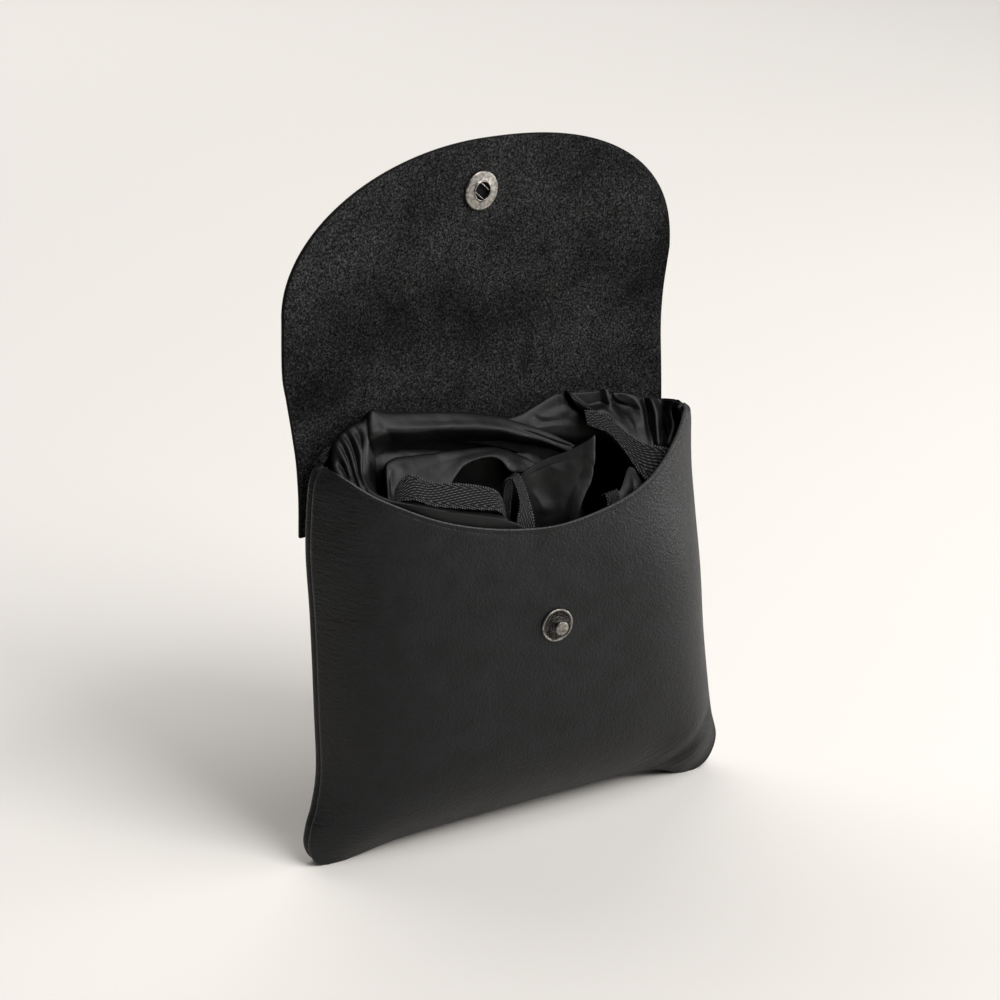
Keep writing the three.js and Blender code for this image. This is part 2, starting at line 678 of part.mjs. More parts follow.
const loopTapeRows = [
  { near: [-9.6, -6.5, 112], far: [-6, -7, 112] },
  { near: [-9, -8, 128], far: [-5.4, -8.4, 130] },
  { near: [-8.4, -10, 136.6], far: [-5, -9.8, 138.4] },
  { near: [-7.2, -11.4, 137.6], far: [-4, -11, 138.6] },
  { near: [-6, -13, 134.4], far: [-2.6, -12.6, 134.6] },
  { near: [-6.2, -15.6, 129.2], far: [-1.8, -14.6, 129.6] },
  { near: [-8.4, -17.6, 124], far: [-1.4, -17.4, 123] },
  { near: [-8.4, -17.8, 112], far: [-1.4, -17.6, 112] },
];

const rightTapeRows = [
  { top: [34, 8.6, 151], low: [34.2, 6.4, 146] },
  { top: [38.6, 8, 150], low: [37.4, 4.4, 144.6] },
  { top: [43, 6.4, 147.6], low: [40.6, 2.4, 143] },
  { top: [48, 2, 141.6], low: [43.6, -1, 139.6] },
  { top: [52.4, -1.6, 137.8], low: [46.2, -4.6, 135.2] },
  { top: [56, -5, 135.8], low: [48.4, -9, 131.2] },
  { top: [56.2, -8.5, 133.4], low: [49.6, -12.8, 127.6] },
  { top: [55, -8, 123], low: [49.4, -11.4, 117] },
];

const tapeEndRows = [
  { near: [30, -10.5, 108], far: [35.4, -10.5, 108] },
  { near: [29.6, -12, 124], far: [35, -12, 125] },
  { near: [29.2, -15, 126.4], far: [34.6, -14.8, 127.2] },
  { near: [29.4, -16.4, 122], far: [34.8, -16, 122.4] },
  { near: [29.6, -16, 106], far: [35, -15.6, 106] },
];

// The cup's cloth, closed at its floor, where every line ends in one point.
function linerBody() {
  const floor = point(2, 2, cup.foot);
  const columns = ['lip', 'rim', 'crown', 'wall', 'waist', 'foot'];
  const middle = loft(linerRows, columns, linerGrid.around, linerGrid.down, true);
  const outer = offsetGrid(middle, nylon.thick / 2, true);
  const inner = offsetGrid(middle, -nylon.thick / 2, true);
  outer.forEach((line) => line.push(floor.clone().setZ(floor.z - nylon.thick / 2)));
  inner.forEach((line) => line.push(floor.clone().setZ(floor.z + nylon.thick / 2)));
  return loopBody(outer, inner);
}

// ---------------------------------------------------------------- meshes

const blackLeather = { color: 0x2b2b2c, roughness: 0.55, metalness: 0 };
const blackNylon = { color: 0x17181a, roughness: 0.45, metalness: 0 };
const blackTape = { color: 0x1d1e20, roughness: 0.8, metalness: 0 };
const oldSilver = { color: 0x8f8d88, roughness: 0.35, metalness: 1 };

function named(name, geometry, look) {
  const mesh = new THREE.Mesh(geometry, new THREE.MeshStandardMaterial({ ...look, name: `${name}_look` }));
  mesh.name = name;
  return mesh;
}

const pouch = new THREE.Group();

const frontPanel = panelBody(-1, mouthHeight, frontFace, (place) => place);
const backPanel = panelBody(1, backTop, backFace, sagging);

const punchedFront = punched(frontPanel, frontFace, stud, stud.shank + leather.gap);
const punchedFlap = punched(flapBody(), flapFace, socket, socket.shank + leather.gap);

pouch.add(named('front_panel', punchedFront, blackLeather));
pouch.add(named('back_panel', backPanel, blackLeather));
pouch.add(named('flap', punchedFlap, blackLeather));

const place = { stud: [frontFace, stud], socket: [flapFace, socket] };
const rivetSeat = leather.thick + leather.gap;

pouch.add(seatOn(named('snap_stud', turned(studRows, 24), oldSilver), ...place.stud, leather.gap, 1));
pouch.add(seatOn(
  named('stud_rivet', withShank(washerRows, 16, stud.shank, leather.thick), oldSilver),
  ...place.stud, -rivetSeat, -1,
));
pouch.add(seatOn(named('snap_socket', turned(socketRows, 28), oldSilver), ...place.socket, leather.gap, 1));
pouch.add(seatOn(
  named('snap_cap', withShank(capRows, 20, socket.shank, leather.thick), oldSilver),
  ...place.socket, -rivetSeat, -1,
));

const nylonSheet = (name, rows, columns, along, down) => named(
  name,
  clothBody(loft(rows, columns, along, down), nylon.thick),
  blackNylon,
);
const tapeSheet = (name, rows, columns, along) => named(
  name,
  clothBody(loft(rows, columns, along, 2), tape.thick),
  blackTape,
);

pouch.add(named('shopper_liner', linerBody(), blackNylon));
pouch.add(nylonSheet('shopper_inner_fold', innerFoldRows, ['foot', 'back', 'top', 'face', 'lip'], 14, 9));
pouch.add(nylonSheet('shopper_centre_panel', centrePanelRows, ['top', 'middle', 'low', 'foot'], 8, 7));
pouch.add(tapeSheet('handle_tape_left', leftTapeRows, ['top', 'low'], 14));
pouch.add(tapeSheet('handle_tape_loop', loopTapeRows, ['near', 'far'], 12));
pouch.add(tapeSheet('handle_tape_right', rightTapeRows, ['top', 'low'], 14));
pouch.add(tapeSheet('handle_tape_end', tapeEndRows, ['near', 'far'], 8));

// The origin goes to the middle of the pouch's box, on the surface below it.
const bounds = new THREE.Box3().setFromObject(pouch, true);
const centre = bounds.getCenter(new THREE.Vector3());
pouch.position.set(-centre.x, -centre.y, -bounds.min.z);

export default pouch;
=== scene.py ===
# %% [markdown]
# # A leather pouch with a folded shopper
# The object is a small black leather pouch. Its flap stands open, and a thin nylon shopper is folded
# up inside it with its tape handles. The CAD model holds the plain solids of every piece. This script
# dresses them: each sheet of leather, cloth or tape is made again as a fine surface along the same
# curves, and gets its own finish.

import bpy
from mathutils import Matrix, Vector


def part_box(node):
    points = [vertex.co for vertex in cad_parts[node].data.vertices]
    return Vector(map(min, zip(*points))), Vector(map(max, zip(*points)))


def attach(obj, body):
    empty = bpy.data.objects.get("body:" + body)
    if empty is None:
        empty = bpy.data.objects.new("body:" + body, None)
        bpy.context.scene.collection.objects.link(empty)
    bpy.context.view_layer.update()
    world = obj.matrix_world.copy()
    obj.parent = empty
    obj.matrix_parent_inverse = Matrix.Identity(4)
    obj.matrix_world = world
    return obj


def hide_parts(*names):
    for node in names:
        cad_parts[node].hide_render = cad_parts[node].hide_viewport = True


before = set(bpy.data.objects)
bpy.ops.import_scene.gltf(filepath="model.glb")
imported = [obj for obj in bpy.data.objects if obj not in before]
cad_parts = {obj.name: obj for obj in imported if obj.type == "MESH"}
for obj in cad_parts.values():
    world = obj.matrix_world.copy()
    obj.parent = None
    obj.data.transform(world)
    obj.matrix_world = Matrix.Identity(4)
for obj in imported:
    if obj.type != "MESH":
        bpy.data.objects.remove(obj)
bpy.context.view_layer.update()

# %% Tools of the trade
import math

import bmesh
import bpy
import numpy as np
from mathutils import Matrix, Vector, noise

MM = 0.001  # the numbers below are millimetres, and Blender works in metres


def smooth(value):
    """0 below 0, 1 above 1, and an S in between."""
    value = np.clip(value, 0.0, 1.0)
    return value * value * (3.0 - 2.0 * value)


def blend(a, b, share):
    return a + (b - a) * share


# %% [markdown]
# ## Smooth curves through a few places
# A maker draws a pattern with a few marks and a flexible strip of wood. The same is done here: a
# Catmull-Rom spline runs through each table's places. The centripetal kind is used, because it never
# loops or overshoots where two places lie close together.


# %% A spline through places
TOUCHING = 1e-4  # places whose step is below this count as one
STEPS_PER_ROW = 12  # how finely a table's column is drawn


def through(places, shares, closed=False):
    """Points at the given shares of the way through places, whose first axis runs along the curve."""
    places = np.asarray(places, float)
    count = len(places)
    spans = count if closed else count - 1
    at = np.asarray(shares, float) * spans
    start = np.clip(np.floor(at).astype(int), 0, spans - 1)
    weight = (at - start).reshape((-1,) + (1,) * (places.ndim - 1))

    def pick(index):
        if closed:
            return places[index % count]
        inner = places[np.clip(index, 0, count - 1)]
        flat = index.reshape((-1,) + (1,) * (places.ndim - 1))
        inner = np.where(flat < 0, 2 * places[0] - places[1], inner)
        return np.where(flat >= count, 2 * places[-1] - places[-2], inner)

    def step(a, b):
        return np.sqrt(np.linalg.norm(b - a, axis=-1, keepdims=True))

    a, b, c, d = (pick(start + k) for k in (-1, 0, 1, 2))
    middle = np.maximum(step(b, c), TOUCHING)
    before = np.where(step(a, b) < TOUCHING, middle, step(a, b))
    after = np.where(step(c, d) < TOUCHING, middle, step(c, d))
    leave = ((b - a) / before - (c - a) / (before + middle) + (c - b) / middle) * middle
    arrive = ((c - b) / middle - (d - b) / (middle + after) + (d - c) / after) * middle
    cubic = 2 * b - 2 * c + leave + arrive
    square = -3 * b + 3 * c - 2 * leave - arrive
    return ((cubic * weight + square) * weight + leave) * weight + b


def column_curve(rows, key, column):
    """One column of a table as a smooth function of another column."""
    places = [(row[key], row[column]) for row in rows]
    drawn = through(places, np.linspace(0, 1, STEPS_PER_ROW * len(rows) + 1))
    return lambda value: np.interp(value, drawn[:, 0], drawn[:, 1])


# %% [markdown]
# ## The pouch's own measures
# These are the driving dimensions of the pattern: how thick each material is, how the seam is turned,
# how far the two panels swell, and where the flap stands. Every surface below is worked out from them.

# %% Driving dimensions
leather = dict(thick=1.6, flattened=1.1, gap=0.3, creased_at=1.5, creased_wide=0.4, creased_deep=0.22)
nylon = dict(thick=1.2, gap=0.7, ply=0.45)
tape = dict(thick=1.1, scallop=0.13)
weave = dict(across=8.5, row=0.85, float_length=2.1, slant=0.24, middle=2.7, loop=0.95, selvedge=0.55)
seam = dict(
    radius=2.0, leaves=math.radians(34), allowance=6.0, trimmed=0.8, trim_from=134.0, trim_over=10.0,
)
lobe = dict(allowance=3.2, height=24.0, reach=62.0)
front = dict(
    swell=22.0, side=0.07, corner=0.045, corner_from=90.0, corner_over=50.0, bottom=0.052,
    mouth_low=122.0, mouth_tuck=0.06,
)
back = dict(
    swell=17.0, skew=0.05, left=0.08, right=0.12, bottom=0.25,
    flap_gap=0.45, flap_slope=0.2, flap_from=115.5, blend=1.0,
)
pinch = dict(start=(57.0, 3.0), end=(89.0, 29.0), deep=1.3, wide=3.4)  # valley beside the right lobe
belly = dict(drop=12.0, rate=1.2, half_width=62.0, fade=22.0)
flap = dict(
    foot=121.5, straight=202.0, arch=50.3, left_round=2.0, right_round=2.4, half_chord=84.0,
    middle=15.5, bow=4.0, yaw=0.085, yaw_gain=0.075, turns_at=140.0, turns_over=50.0,
    curl=4.0, curl_from=180.0, curl_over=70.0,
)
stud = dict(x=4.2, z=85.1)
socket = dict(x=-4.2, z=234.4)

# %% The seam's outer edge, from the top left corner down, along the bottom and up the right side
outline_rows = [
    (-73.4, 150.3),  # round top left corner
    (-75.8, 148.8), (-77.6, 144.6), (-78.7, 137.0), (-79.8, 120.0), (-79.0, 95.0), (-78.6, 60.0),
    (-78.7, 34.0),  # neck above the left lobe
    (-80.9, 22.0), (-83.4, 14.0),
    (-84.2, 7.0),  # side of the left lobe
    (-81.6, 1.4),
    (-75.5, -0.6),  # underside of the left lobe, pressed flat
    (-66.0, 0.4), (-52.0, 2.6), (-24.0, 4.0),
    (6.0, 4.8),  # raised middle of the bottom seam
    (36.0, 5.4), (56.0, 5.6),
    (66.0, 2.6),  # notch beside the right lobe
    (74.0, -0.4), (79.6, -0.2), (84.8, 2.2), (88.0, 6.8),
    (89.4, 13.0),  # side of the right lobe
    (86.8, 24.0), (84.6, 38.0), (81.8, 60.0), (79.4, 86.0), (76.2, 110.0), (74.0, 128.0),
    (73.4, 139.0), (73.2, 146.0), (72.5, 149.6),
    (70.7, 151.3),  # round top right corner
]
mouth_rows = [
    dict(x=-73.4, z=150.3), dict(x=-63.4, z=142.6), dict(x=-54.2, z=137.6), dict(x=-40.6, z=131.2),
    dict(x=-25.7, z=126.3), dict(x=-8.3, z=122.8), dict(x=6.0, z=121.8), dict(x=22.5, z=123.6),
    dict(x=41.6, z=128.4), dict(x=54.7, z=135.3), dict(x=63.2, z=142.6), dict(x=68.0, z=148.2),
    dict(x=70.7, z=151.3),
]
back_top_rows = [
    dict(x=-73.4, z=150.3), dict(x=-66.0, z=154.0), dict(x=-40.0, z=152.0), dict(x=0.0, z=148.5),
    dict(x=40.0, z=147.8), dict(x=60.0, z=147.4), dict(x=66.0, z=148.8), dict(x=70.7, z=151.3),
]
flap_rows = [
    dict(z=121.5, left=-78.4, right=76.4), dict(z=136.0, left=-78.0, right=76.4),
    dict(z=148.0, left=-78.6, right=76.6), dict(z=160.0, left=-80.7, right=77.2),
    dict(z=172.0, left=-83.3, right=78.0), dict(z=182.0, left=-85.3, right=79.2),
    dict(z=202.0, left=-85.2, right=82.0),
]

# %% Lines worked out from the tables
mouth_height = column_curve(mouth_rows, "x", "z")
back_top = column_curve(back_top_rows, "x", "z")
flap_left = column_curve(flap_rows, "z", "left")
flap_right = column_curve(flap_rows, "z", "right")

OUTLINE_STEPS = 6000
outline = through([(x, 0.0, z) for x, z in outline_rows], np.linspace(0, 1, OUTLINE_STEPS + 1))
outline_steps = np.linalg.norm(np.diff(outline, axis=0), axis=1)
outline_length = np.concatenate([[0.0], np.cumsum(outline_steps)])
outline_share = outline_length / outline_length[-1]


def lowest_on(side):
    beyond = outline[:, 0] * side > lobe["reach"]
    return int(np.argmin(np.where(beyond, outline[:, 2], np.inf)))


def widest_on(side):
    return int(np.argmax(outline[:, 0] * side))


left_side = outline[: lowest_on(-1) + 1][::-1]
right_side = outline[lowest_on(1):]
underside = outline[widest_on(-1): widest_on(1) + 1]


def left_edge(z):
    return np.interp(z, left_side[:, 2], left_side[:, 0])


def right_edge(z):
    return np.interp(z, right_side[:, 2], right_side[:, 0])


def bottom_edge(x):
    return np.interp(x, underside[:, 0], underside[:, 2])


front_low, front_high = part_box("front_panel")
back_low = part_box("back_panel")[0]
ORIGIN = np.array([
    front_low[0] / MM - outline[:, 0].min(),
    (front_high[1] + back_low[1]) / (2 * MM),
    0.0,
])
print("seam length %.0f mm, the pattern's zero lies at %s mm" % (outline_length[-1], ORIGIN.round(2)))

# %% [markdown]
# ## How the leather swells
# Two flat pieces of leather that are sewn together round their edge can only open by swelling in the
# middle. Near the seam they leave steeply, and further in they level out. An exponential rise from
# each edge gives just that, and the product of the rises from three edges gives a whole panel.


# %% How far a panel has risen from its edges
ROLL_REACH = leather["gap"] / 2 + seam["radius"] * (1 + math.sin(seam["leaves"]))
ROLL_INSET = seam["radius"] * (1 - math.cos(seam["leaves"]))


def swollen(distance, rate):
    return 1 - np.exp(-rate * np.maximum(distance, 0))


def risen(x, z, left, right, bottom):
    """The product of the rises from the two sides and from the bottom, each at its own rate."""
    from_left = swollen(x - left_edge(z) - ROLL_INSET, left)
    from_right = swollen(right_edge(z) - x - ROLL_INSET, right)
    from_bottom = swollen(z - bottom_edge(x) - ROLL_INSET, bottom)
    return from_left * from_right * from_bottom


def pinched(x, z):
    """How deep the valley beside the right lobe is at a place on the front panel."""
    (start_x, start_z), (end_x, end_z) = pinch["start"], pinch["end"]
    run, rise = end_x - start_x, end_z - start_z
    share = ((x - start_x) * run + (z - start_z) * rise) / (run**2 + rise**2)
    off = ((z - start_z) * run - (x - start_x) * rise) / math.hypot(run, rise)
    fading = smooth(3 * share) * smooth(3 * (1.1 - share))
    return pinch["deep"] * fading * np.exp(-((off / pinch["wide"]) ** 2))


# %% The three leather surfaces as functions of x and z
def front_face(x, z):
    corner = smooth((z - front["corner_from"]) / front["corner_over"])
    right = blend(front["side"], front["corner"], corner)
    edges = risen(x, z, front["side"], right, front["bottom"])
    to_mouth = np.clip((z - stud["z"]) / (front["mouth_low"] - stud["z"]), 0, 1)
    tuck = 1 - front["mouth_tuck"] * to_mouth**2
    return -ROLL_REACH - front["swell"] * edges * tuck + pinched(x, z) * np.minimum(4 * edges, 1)


def flap_face(x, z):
    turned = flap["yaw"] + flap["yaw_gain"] * smooth((z - flap["turns_at"]) / flap["turns_over"])
    bow = flap["bow"] * (1 - (x / flap["half_chord"]) ** 2)
    curl = flap["curl"] * np.maximum((z - flap["curl_from"]) / flap["curl_over"], 0) ** 2
    return flap["middle"] + turned * x + bow - curl


def back_face(x, z):
    swell = back["swell"] + back["skew"] * x
    free = ROLL_REACH + swell * risen(x, z, back["left"], back["right"], back["bottom"])
    under_flap = flap_face(x, np.maximum(z, flap["foot"])) - back["flap_gap"]
    under_flap = under_flap + back["flap_slope"] * np.maximum(back["flap_from"] - z, 0)
    return -np.logaddexp(-free / back["blend"], -under_flap / back["blend"]) * back["blend"]


# %% Which way a face looks
def slopes(face_at, x, z):
    """How far a face goes back for each millimetre to the right, and for each millimetre up."""
    return (face_at(x + 1, z) - face_at(x - 1, z)) / 2, (face_at(x, z + 1) - face_at(x, z - 1)) / 2


def facing(face_at, x, z):
    """The direction straight out of a face that looks towards -Y."""
    slope_x, slope_z = slopes(face_at, x, z)
    normal = np.stack([slope_x, -np.ones_like(slope_x), slope_z], axis=-1)
    return normal / np.linalg.norm(normal, axis=-1, keepdims=True)


def steepness(face_at, x, z):
    """How much thicker a sheet is straight back than square to its face."""
    slope_x, slope_z = slopes(face_at, x, z)
    return np.sqrt(1 + slope_x**2 + slope_z**2)


print("front at the stud: y = %.1f mm in the pattern" % front_face(stud["x"], stud["z"]))

# %% [markdown]
# ## From curved grids to pieces
# Every sheet is a grid of points on its near skin, a second grid on its far skin, and narrow strips
# round the cut edges. The strips bulge a little, as a knife-cut edge does. Building the skins in mesh
# code keeps them exactly on the curves, and each grid carries its flat size as a UV map in
# millimetres, so that weave and grain can follow the sheet.


# %% Grids, normals and edges
EDGE_BULGE, EDGE_STEPS = 0.12, 4  # a cut edge stands out by a share of its thickness, in a few faces


def grid_normals(grid, looped=False):
    """The unit normal at each point of a grid, from its neighbours."""
    if looped:
        along = np.roll(grid, -1, axis=0) - np.roll(grid, 1, axis=0)
    else:
        along = np.gradient(grid, axis=0)
    down = np.gradient(grid, axis=1)
    normal = np.cross(along, down)
    return normal / np.maximum(np.linalg.norm(normal, axis=-1, keepdims=True), 1e-9)


def cut_edge(near, far):
    """A strip from a line on the near skin to the same line on the far skin, rounded outwards."""
    out = np.cross(np.gradient(near, axis=0), far - near)
    out /= np.maximum(np.linalg.norm(out, axis=-1, keepdims=True), 1e-9)
    bulge = out * np.linalg.norm(far - near, axis=-1, keepdims=True) * EDGE_BULGE
    shares = np.linspace(0, 1, EDGE_STEPS + 1)
    return np.stack([blend(near, far, s) + bulge * 4 * s * (1 - s) for s in shares])


def flat_map(grid):
    """The length along and down each line of a grid, in millimetres."""
    along = np.linalg.norm(np.diff(grid, axis=0), axis=-1).mean(axis=1)
    down = np.linalg.norm(np.diff(grid, axis=1), axis=-1).mean(axis=0)
    u = np.concatenate([[0], np.cumsum(along)])
    v = np.concatenate([[0], np.cumsum(down)])
    return np.stack(np.meshgrid(u, v, indexing="ij"), axis=-1)


def field(points, size, seed=0.0, octaves=1):
    """Smooth noise from -1 to 1 at each point; size is how far apart its bumps are, in millimetres."""
    flat = np.asarray(points).reshape(-1, 3) / size
    total = np.zeros(len(flat))
    for octave in range(octaves):
        scale = 2.0**octave
        shift = Vector((seed * 7.3, seed * 3.1, seed * 5.7 + octave * 11.0))
        total += [noise.noise(Vector(p) * scale + shift) / scale for p in flat]
    return total.reshape(np.asarray(points).shape[:-1])


# %% Weld the grids of a piece
WELD_REACH = 0.002 * MM


def weld(mesh):
    """Joins the grids where they meet, drops faces that have no area, and turns the faces outwards."""
    work = bmesh.new()
    work.from_mesh(mesh)
    bmesh.ops.remove_doubles(work, verts=work.verts, dist=WELD_REACH)
    bmesh.ops.dissolve_degenerate(work, edges=work.edges, dist=WELD_REACH / 2)
    inside_out = work.calc_volume(signed=True) < 0
    work.to_mesh(mesh)
    work.free()
    if inside_out:
        mesh.flip_normals()


# %% Make one mesh piece from its grids
def make_piece(name, parts, looks):
    """parts are (grid, flipped, look, flat) tuples, and looks are the materials that look counts."""
    corners, faces, look_of, flats = [], [], [], []
    first = 0
    for grid, flipped, look, flat in parts:
        rows, columns = grid.shape[:2]
        flat = flat_map(grid) if flat is None else flat
        corners.append(grid.reshape(-1, 3))
        flats.append(flat.reshape(-1, 2))
        index = np.arange(rows * columns).reshape(rows, columns) + first
        quad = [index[:-1, :-1], index[1:, :-1], index[1:, 1:], index[:-1, 1:]]
        quad = np.stack(quad[::-1] if flipped else quad, axis=-1).reshape(-1, 4)
        faces.append(quad)
        look_of.append(np.full(len(quad), look))
        first += rows * columns
    corners = (np.concatenate(corners) + ORIGIN) * MM
    faces = np.concatenate(faces)
    flats = np.concatenate(flats)
    mesh = bpy.data.meshes.new(name)
    mesh.from_pydata(corners.tolist(), [], faces.tolist())
    mesh.polygons.foreach_set("material_index", np.concatenate(look_of).astype(np.int32))
    mesh.polygons.foreach_set("use_smooth", np.ones(len(faces), bool))
    uv = mesh.uv_layers.new(name="flat_mm")
    uv.data.foreach_set("uv", flats[faces.reshape(-1)].reshape(-1).astype(np.float32))
    for look in looks:
        mesh.materials.append(look)
    piece = bpy.data.objects.new(name, mesh)
    bpy.context.collection.objects.link(piece)
    weld(mesh)
    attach(piece, "root")
    print("%s: %d faces" % (name, len(mesh.polygons)))
    return piece


def sheet_parts(near, far, skins, edge, flat=None):
    """The two skins of a sheet and the strips round its four cut edges."""
    flat = flat_map(near) if flat is None else flat
    rims = [(far[0], near[0]), (near[-1], far[-1]), (near[:, 0], far[:, 0]), (far[:, -1], near[:, -1])]
    strips = [(cut_edge(*rim), False, edge, None) for rim in rims]
    return [(near, False, skins[0], flat), (far, True, skins[1], flat), *strips]


# %% [markdown]
# ## Finishes
# All of the finishes are black, so what tells them apart is how they take the light: the smooth side
# of the leather has a satin shine over a fine pebbled grain, its flesh side is a dull nap, the nylon
# has soft highlights along its folds, and the tape is a coarse matt weave. Each is a small node tree.


# %% Start a finish, and add a node
def new_finish(name, colour, roughness, **settings):
    look = bpy.data.materials.new(name)
    look.use_nodes = True
    shader = look.node_tree.nodes["Principled BSDF"]
    shader.inputs["Base Color"].default_value = (*colour, 1)
    shader.inputs["Roughness"].default_value = roughness
    for socket_name, value in settings.items():
        shader.inputs[socket_name.replace("_", " ")].default_value = value
    return look, look.node_tree, shader


def add_node(tree, kind, inputs=None, **attributes):
    node = tree.nodes.new(kind)
    for key, value in attributes.items():
        setattr(node, key, value)
    for key, value in (inputs or {}).items():
        node.inputs[key].default_value = value
    return node


# %% Arithmetic on numbers and colours
def math_node(tree, operation, *values):
    """One step of arithmetic on numbers or on what other nodes put out."""
    node = add_node(tree, "ShaderNodeMath", operation=operation)
    for index, value in enumerate(values):
        if isinstance(value, float):
            node.inputs[index].default_value = value
        else:
            tree.links.new(value, node.inputs[index])
    return node.outputs[0]


def product(tree, *values):
    result = values[0]
    for value in values[1:]:
        result = math_node(tree, "MULTIPLY", result, value)
    return result


def tinted(tree, first, second):
    """Two colours multiplied."""
    node = add_node(tree, "ShaderNodeMix", {0: 1.0}, data_type="RGBA", blend_type="MULTIPLY")
    tree.links.new(first, node.inputs[6])
    tree.links.new(second, node.inputs[7])
    return node.outputs[2]


# %% Where a pattern lies
def object_place(tree, size):
    """Object coordinates, scaled so that 1 unit is size millimetres."""
    where = add_node(tree, "ShaderNodeTexCoord")
    scaled = add_node(tree, "ShaderNodeVectorMath", operation="SCALE")
    scaled.inputs["Scale"].default_value = 1 / (size * MM)
    tree.links.new(where.outputs["Object"], scaled.inputs[0])
    return scaled.outputs["Vector"]


def object_axes(tree):
    where = add_node(tree, "ShaderNodeTexCoord")
    axes = add_node(tree, "ShaderNodeSeparateXYZ")
    tree.links.new(where.outputs["Object"], axes.inputs["Vector"])
    return axes.outputs["X"], axes.outputs["Z"]


def flat_place(tree, size=(1.0, 1.0)):
    """The sheet's own flat coordinates, scaled so that 1 unit is size millimetres."""
    where = add_node(tree, "ShaderNodeUVMap", uv_map="flat_mm")
    scaled = add_node(tree, "ShaderNodeMapping")
    scaled.inputs["Scale"].default_value = (1 / size[0], 1 / size[1], 1)
    tree.links.new(where.outputs["UV"], scaled.inputs["Vector"])
    return scaled.outputs["Vector"]


# %% Noise and relief
def speckle(tree, size, detail, roughness=0.5, distortion=0.0):
    """Noise whose spots are about size millimetres wide."""
    settings = {"Scale": 1.0, "Detail": detail, "Roughness": roughness, "Distortion": distortion}
    node = add_node(tree, "ShaderNodeTexNoise", settings)
    tree.links.new(object_place(tree, size), node.inputs["Vector"])
    return node.outputs["Fac"]


def bump(tree, shader, height, depth, strength=1.0, under=None):
    """Raises the surface by height times depth millimetres."""
    node = add_node(tree, "ShaderNodeBump", {"Strength": strength, "Distance": depth * MM})
    tree.links.new(height, node.inputs["Height"])
    if under is not None:
        tree.links.new(under.outputs["Normal"], node.inputs["Normal"])
    tree.links.new(node.outputs["Normal"], shader.inputs["Normal"])
    return node


# %% Colour and roughness from a pattern
def grey(level):
    return (level, level, level)


def shades(tree, value, stops):
    ramp = add_node(tree, "ShaderNodeValToRGB")
    points = ramp.color_ramp.elements
    while len(points) < len(stops):
        points.new(0.5)
    for point, (position, colour) in zip(points, stops):
        point.position = position
        point.color = (*colour, 1)
    tree.links.new(value, ramp.inputs["Fac"])
    return ramp.outputs["Color"]


def coloured(tree, shader, value, stops):
    tree.links.new(shades(tree, value, stops), shader.inputs["Base Color"])


def roughened(tree, shader, value, low, high):
    node = add_node(tree, "ShaderNodeMapRange", {"To Min": low, "To Max": high})
    tree.links.new(value, node.inputs["Value"])
    tree.links.new(node.outputs["Result"], shader.inputs["Roughness"])


# %% Masks and streaks for the leather's creases
def rising(tree, value, low, high):
    """0 where value is below low, 1 above high, in millimetres; the other way round if low is higher."""
    flipped = low > high
    node = add_node(tree, "ShaderNodeMapRange", interpolation_type="SMOOTHSTEP")
    node.inputs["From Min"].default_value = min(low, high) * MM
    node.inputs["From Max"].default_value = max(low, high) * MM
    node.inputs["To Min"].default_value = float(flipped)
    node.inputs["To Max"].default_value = float(not flipped)
    tree.links.new(value, node.inputs["Value"])
    return node.outputs["Result"]


def streaks(tree, degrees, length, breadth, distortion=0.6):
    """Noise drawn out along a direction that climbs to the right by the given angle."""
    where = add_node(tree, "ShaderNodeTexCoord")
    turned = add_node(
        tree, "ShaderNodeVectorRotate", {"Angle": math.radians(degrees)}, rotation_type="Y_AXIS"
    )
    tree.links.new(where.outputs["Object"], turned.inputs["Vector"])
    scaled = add_node(tree, "ShaderNodeVectorMath", operation="MULTIPLY")
    scaled.inputs[1].default_value = (1 / (length * MM), 1 / (length * MM), 1 / (breadth * MM))
    tree.links.new(turned.outputs["Vector"], scaled.inputs[0])
    drawn = add_node(tree, "ShaderNodeTexNoise", {"Scale": 1.0, "Detail": 2.0, "Distortion": distortion})
    tree.links.new(scaled.outputs["Vector"], drawn.inputs["Vector"])
    return drawn.outputs["Fac"]
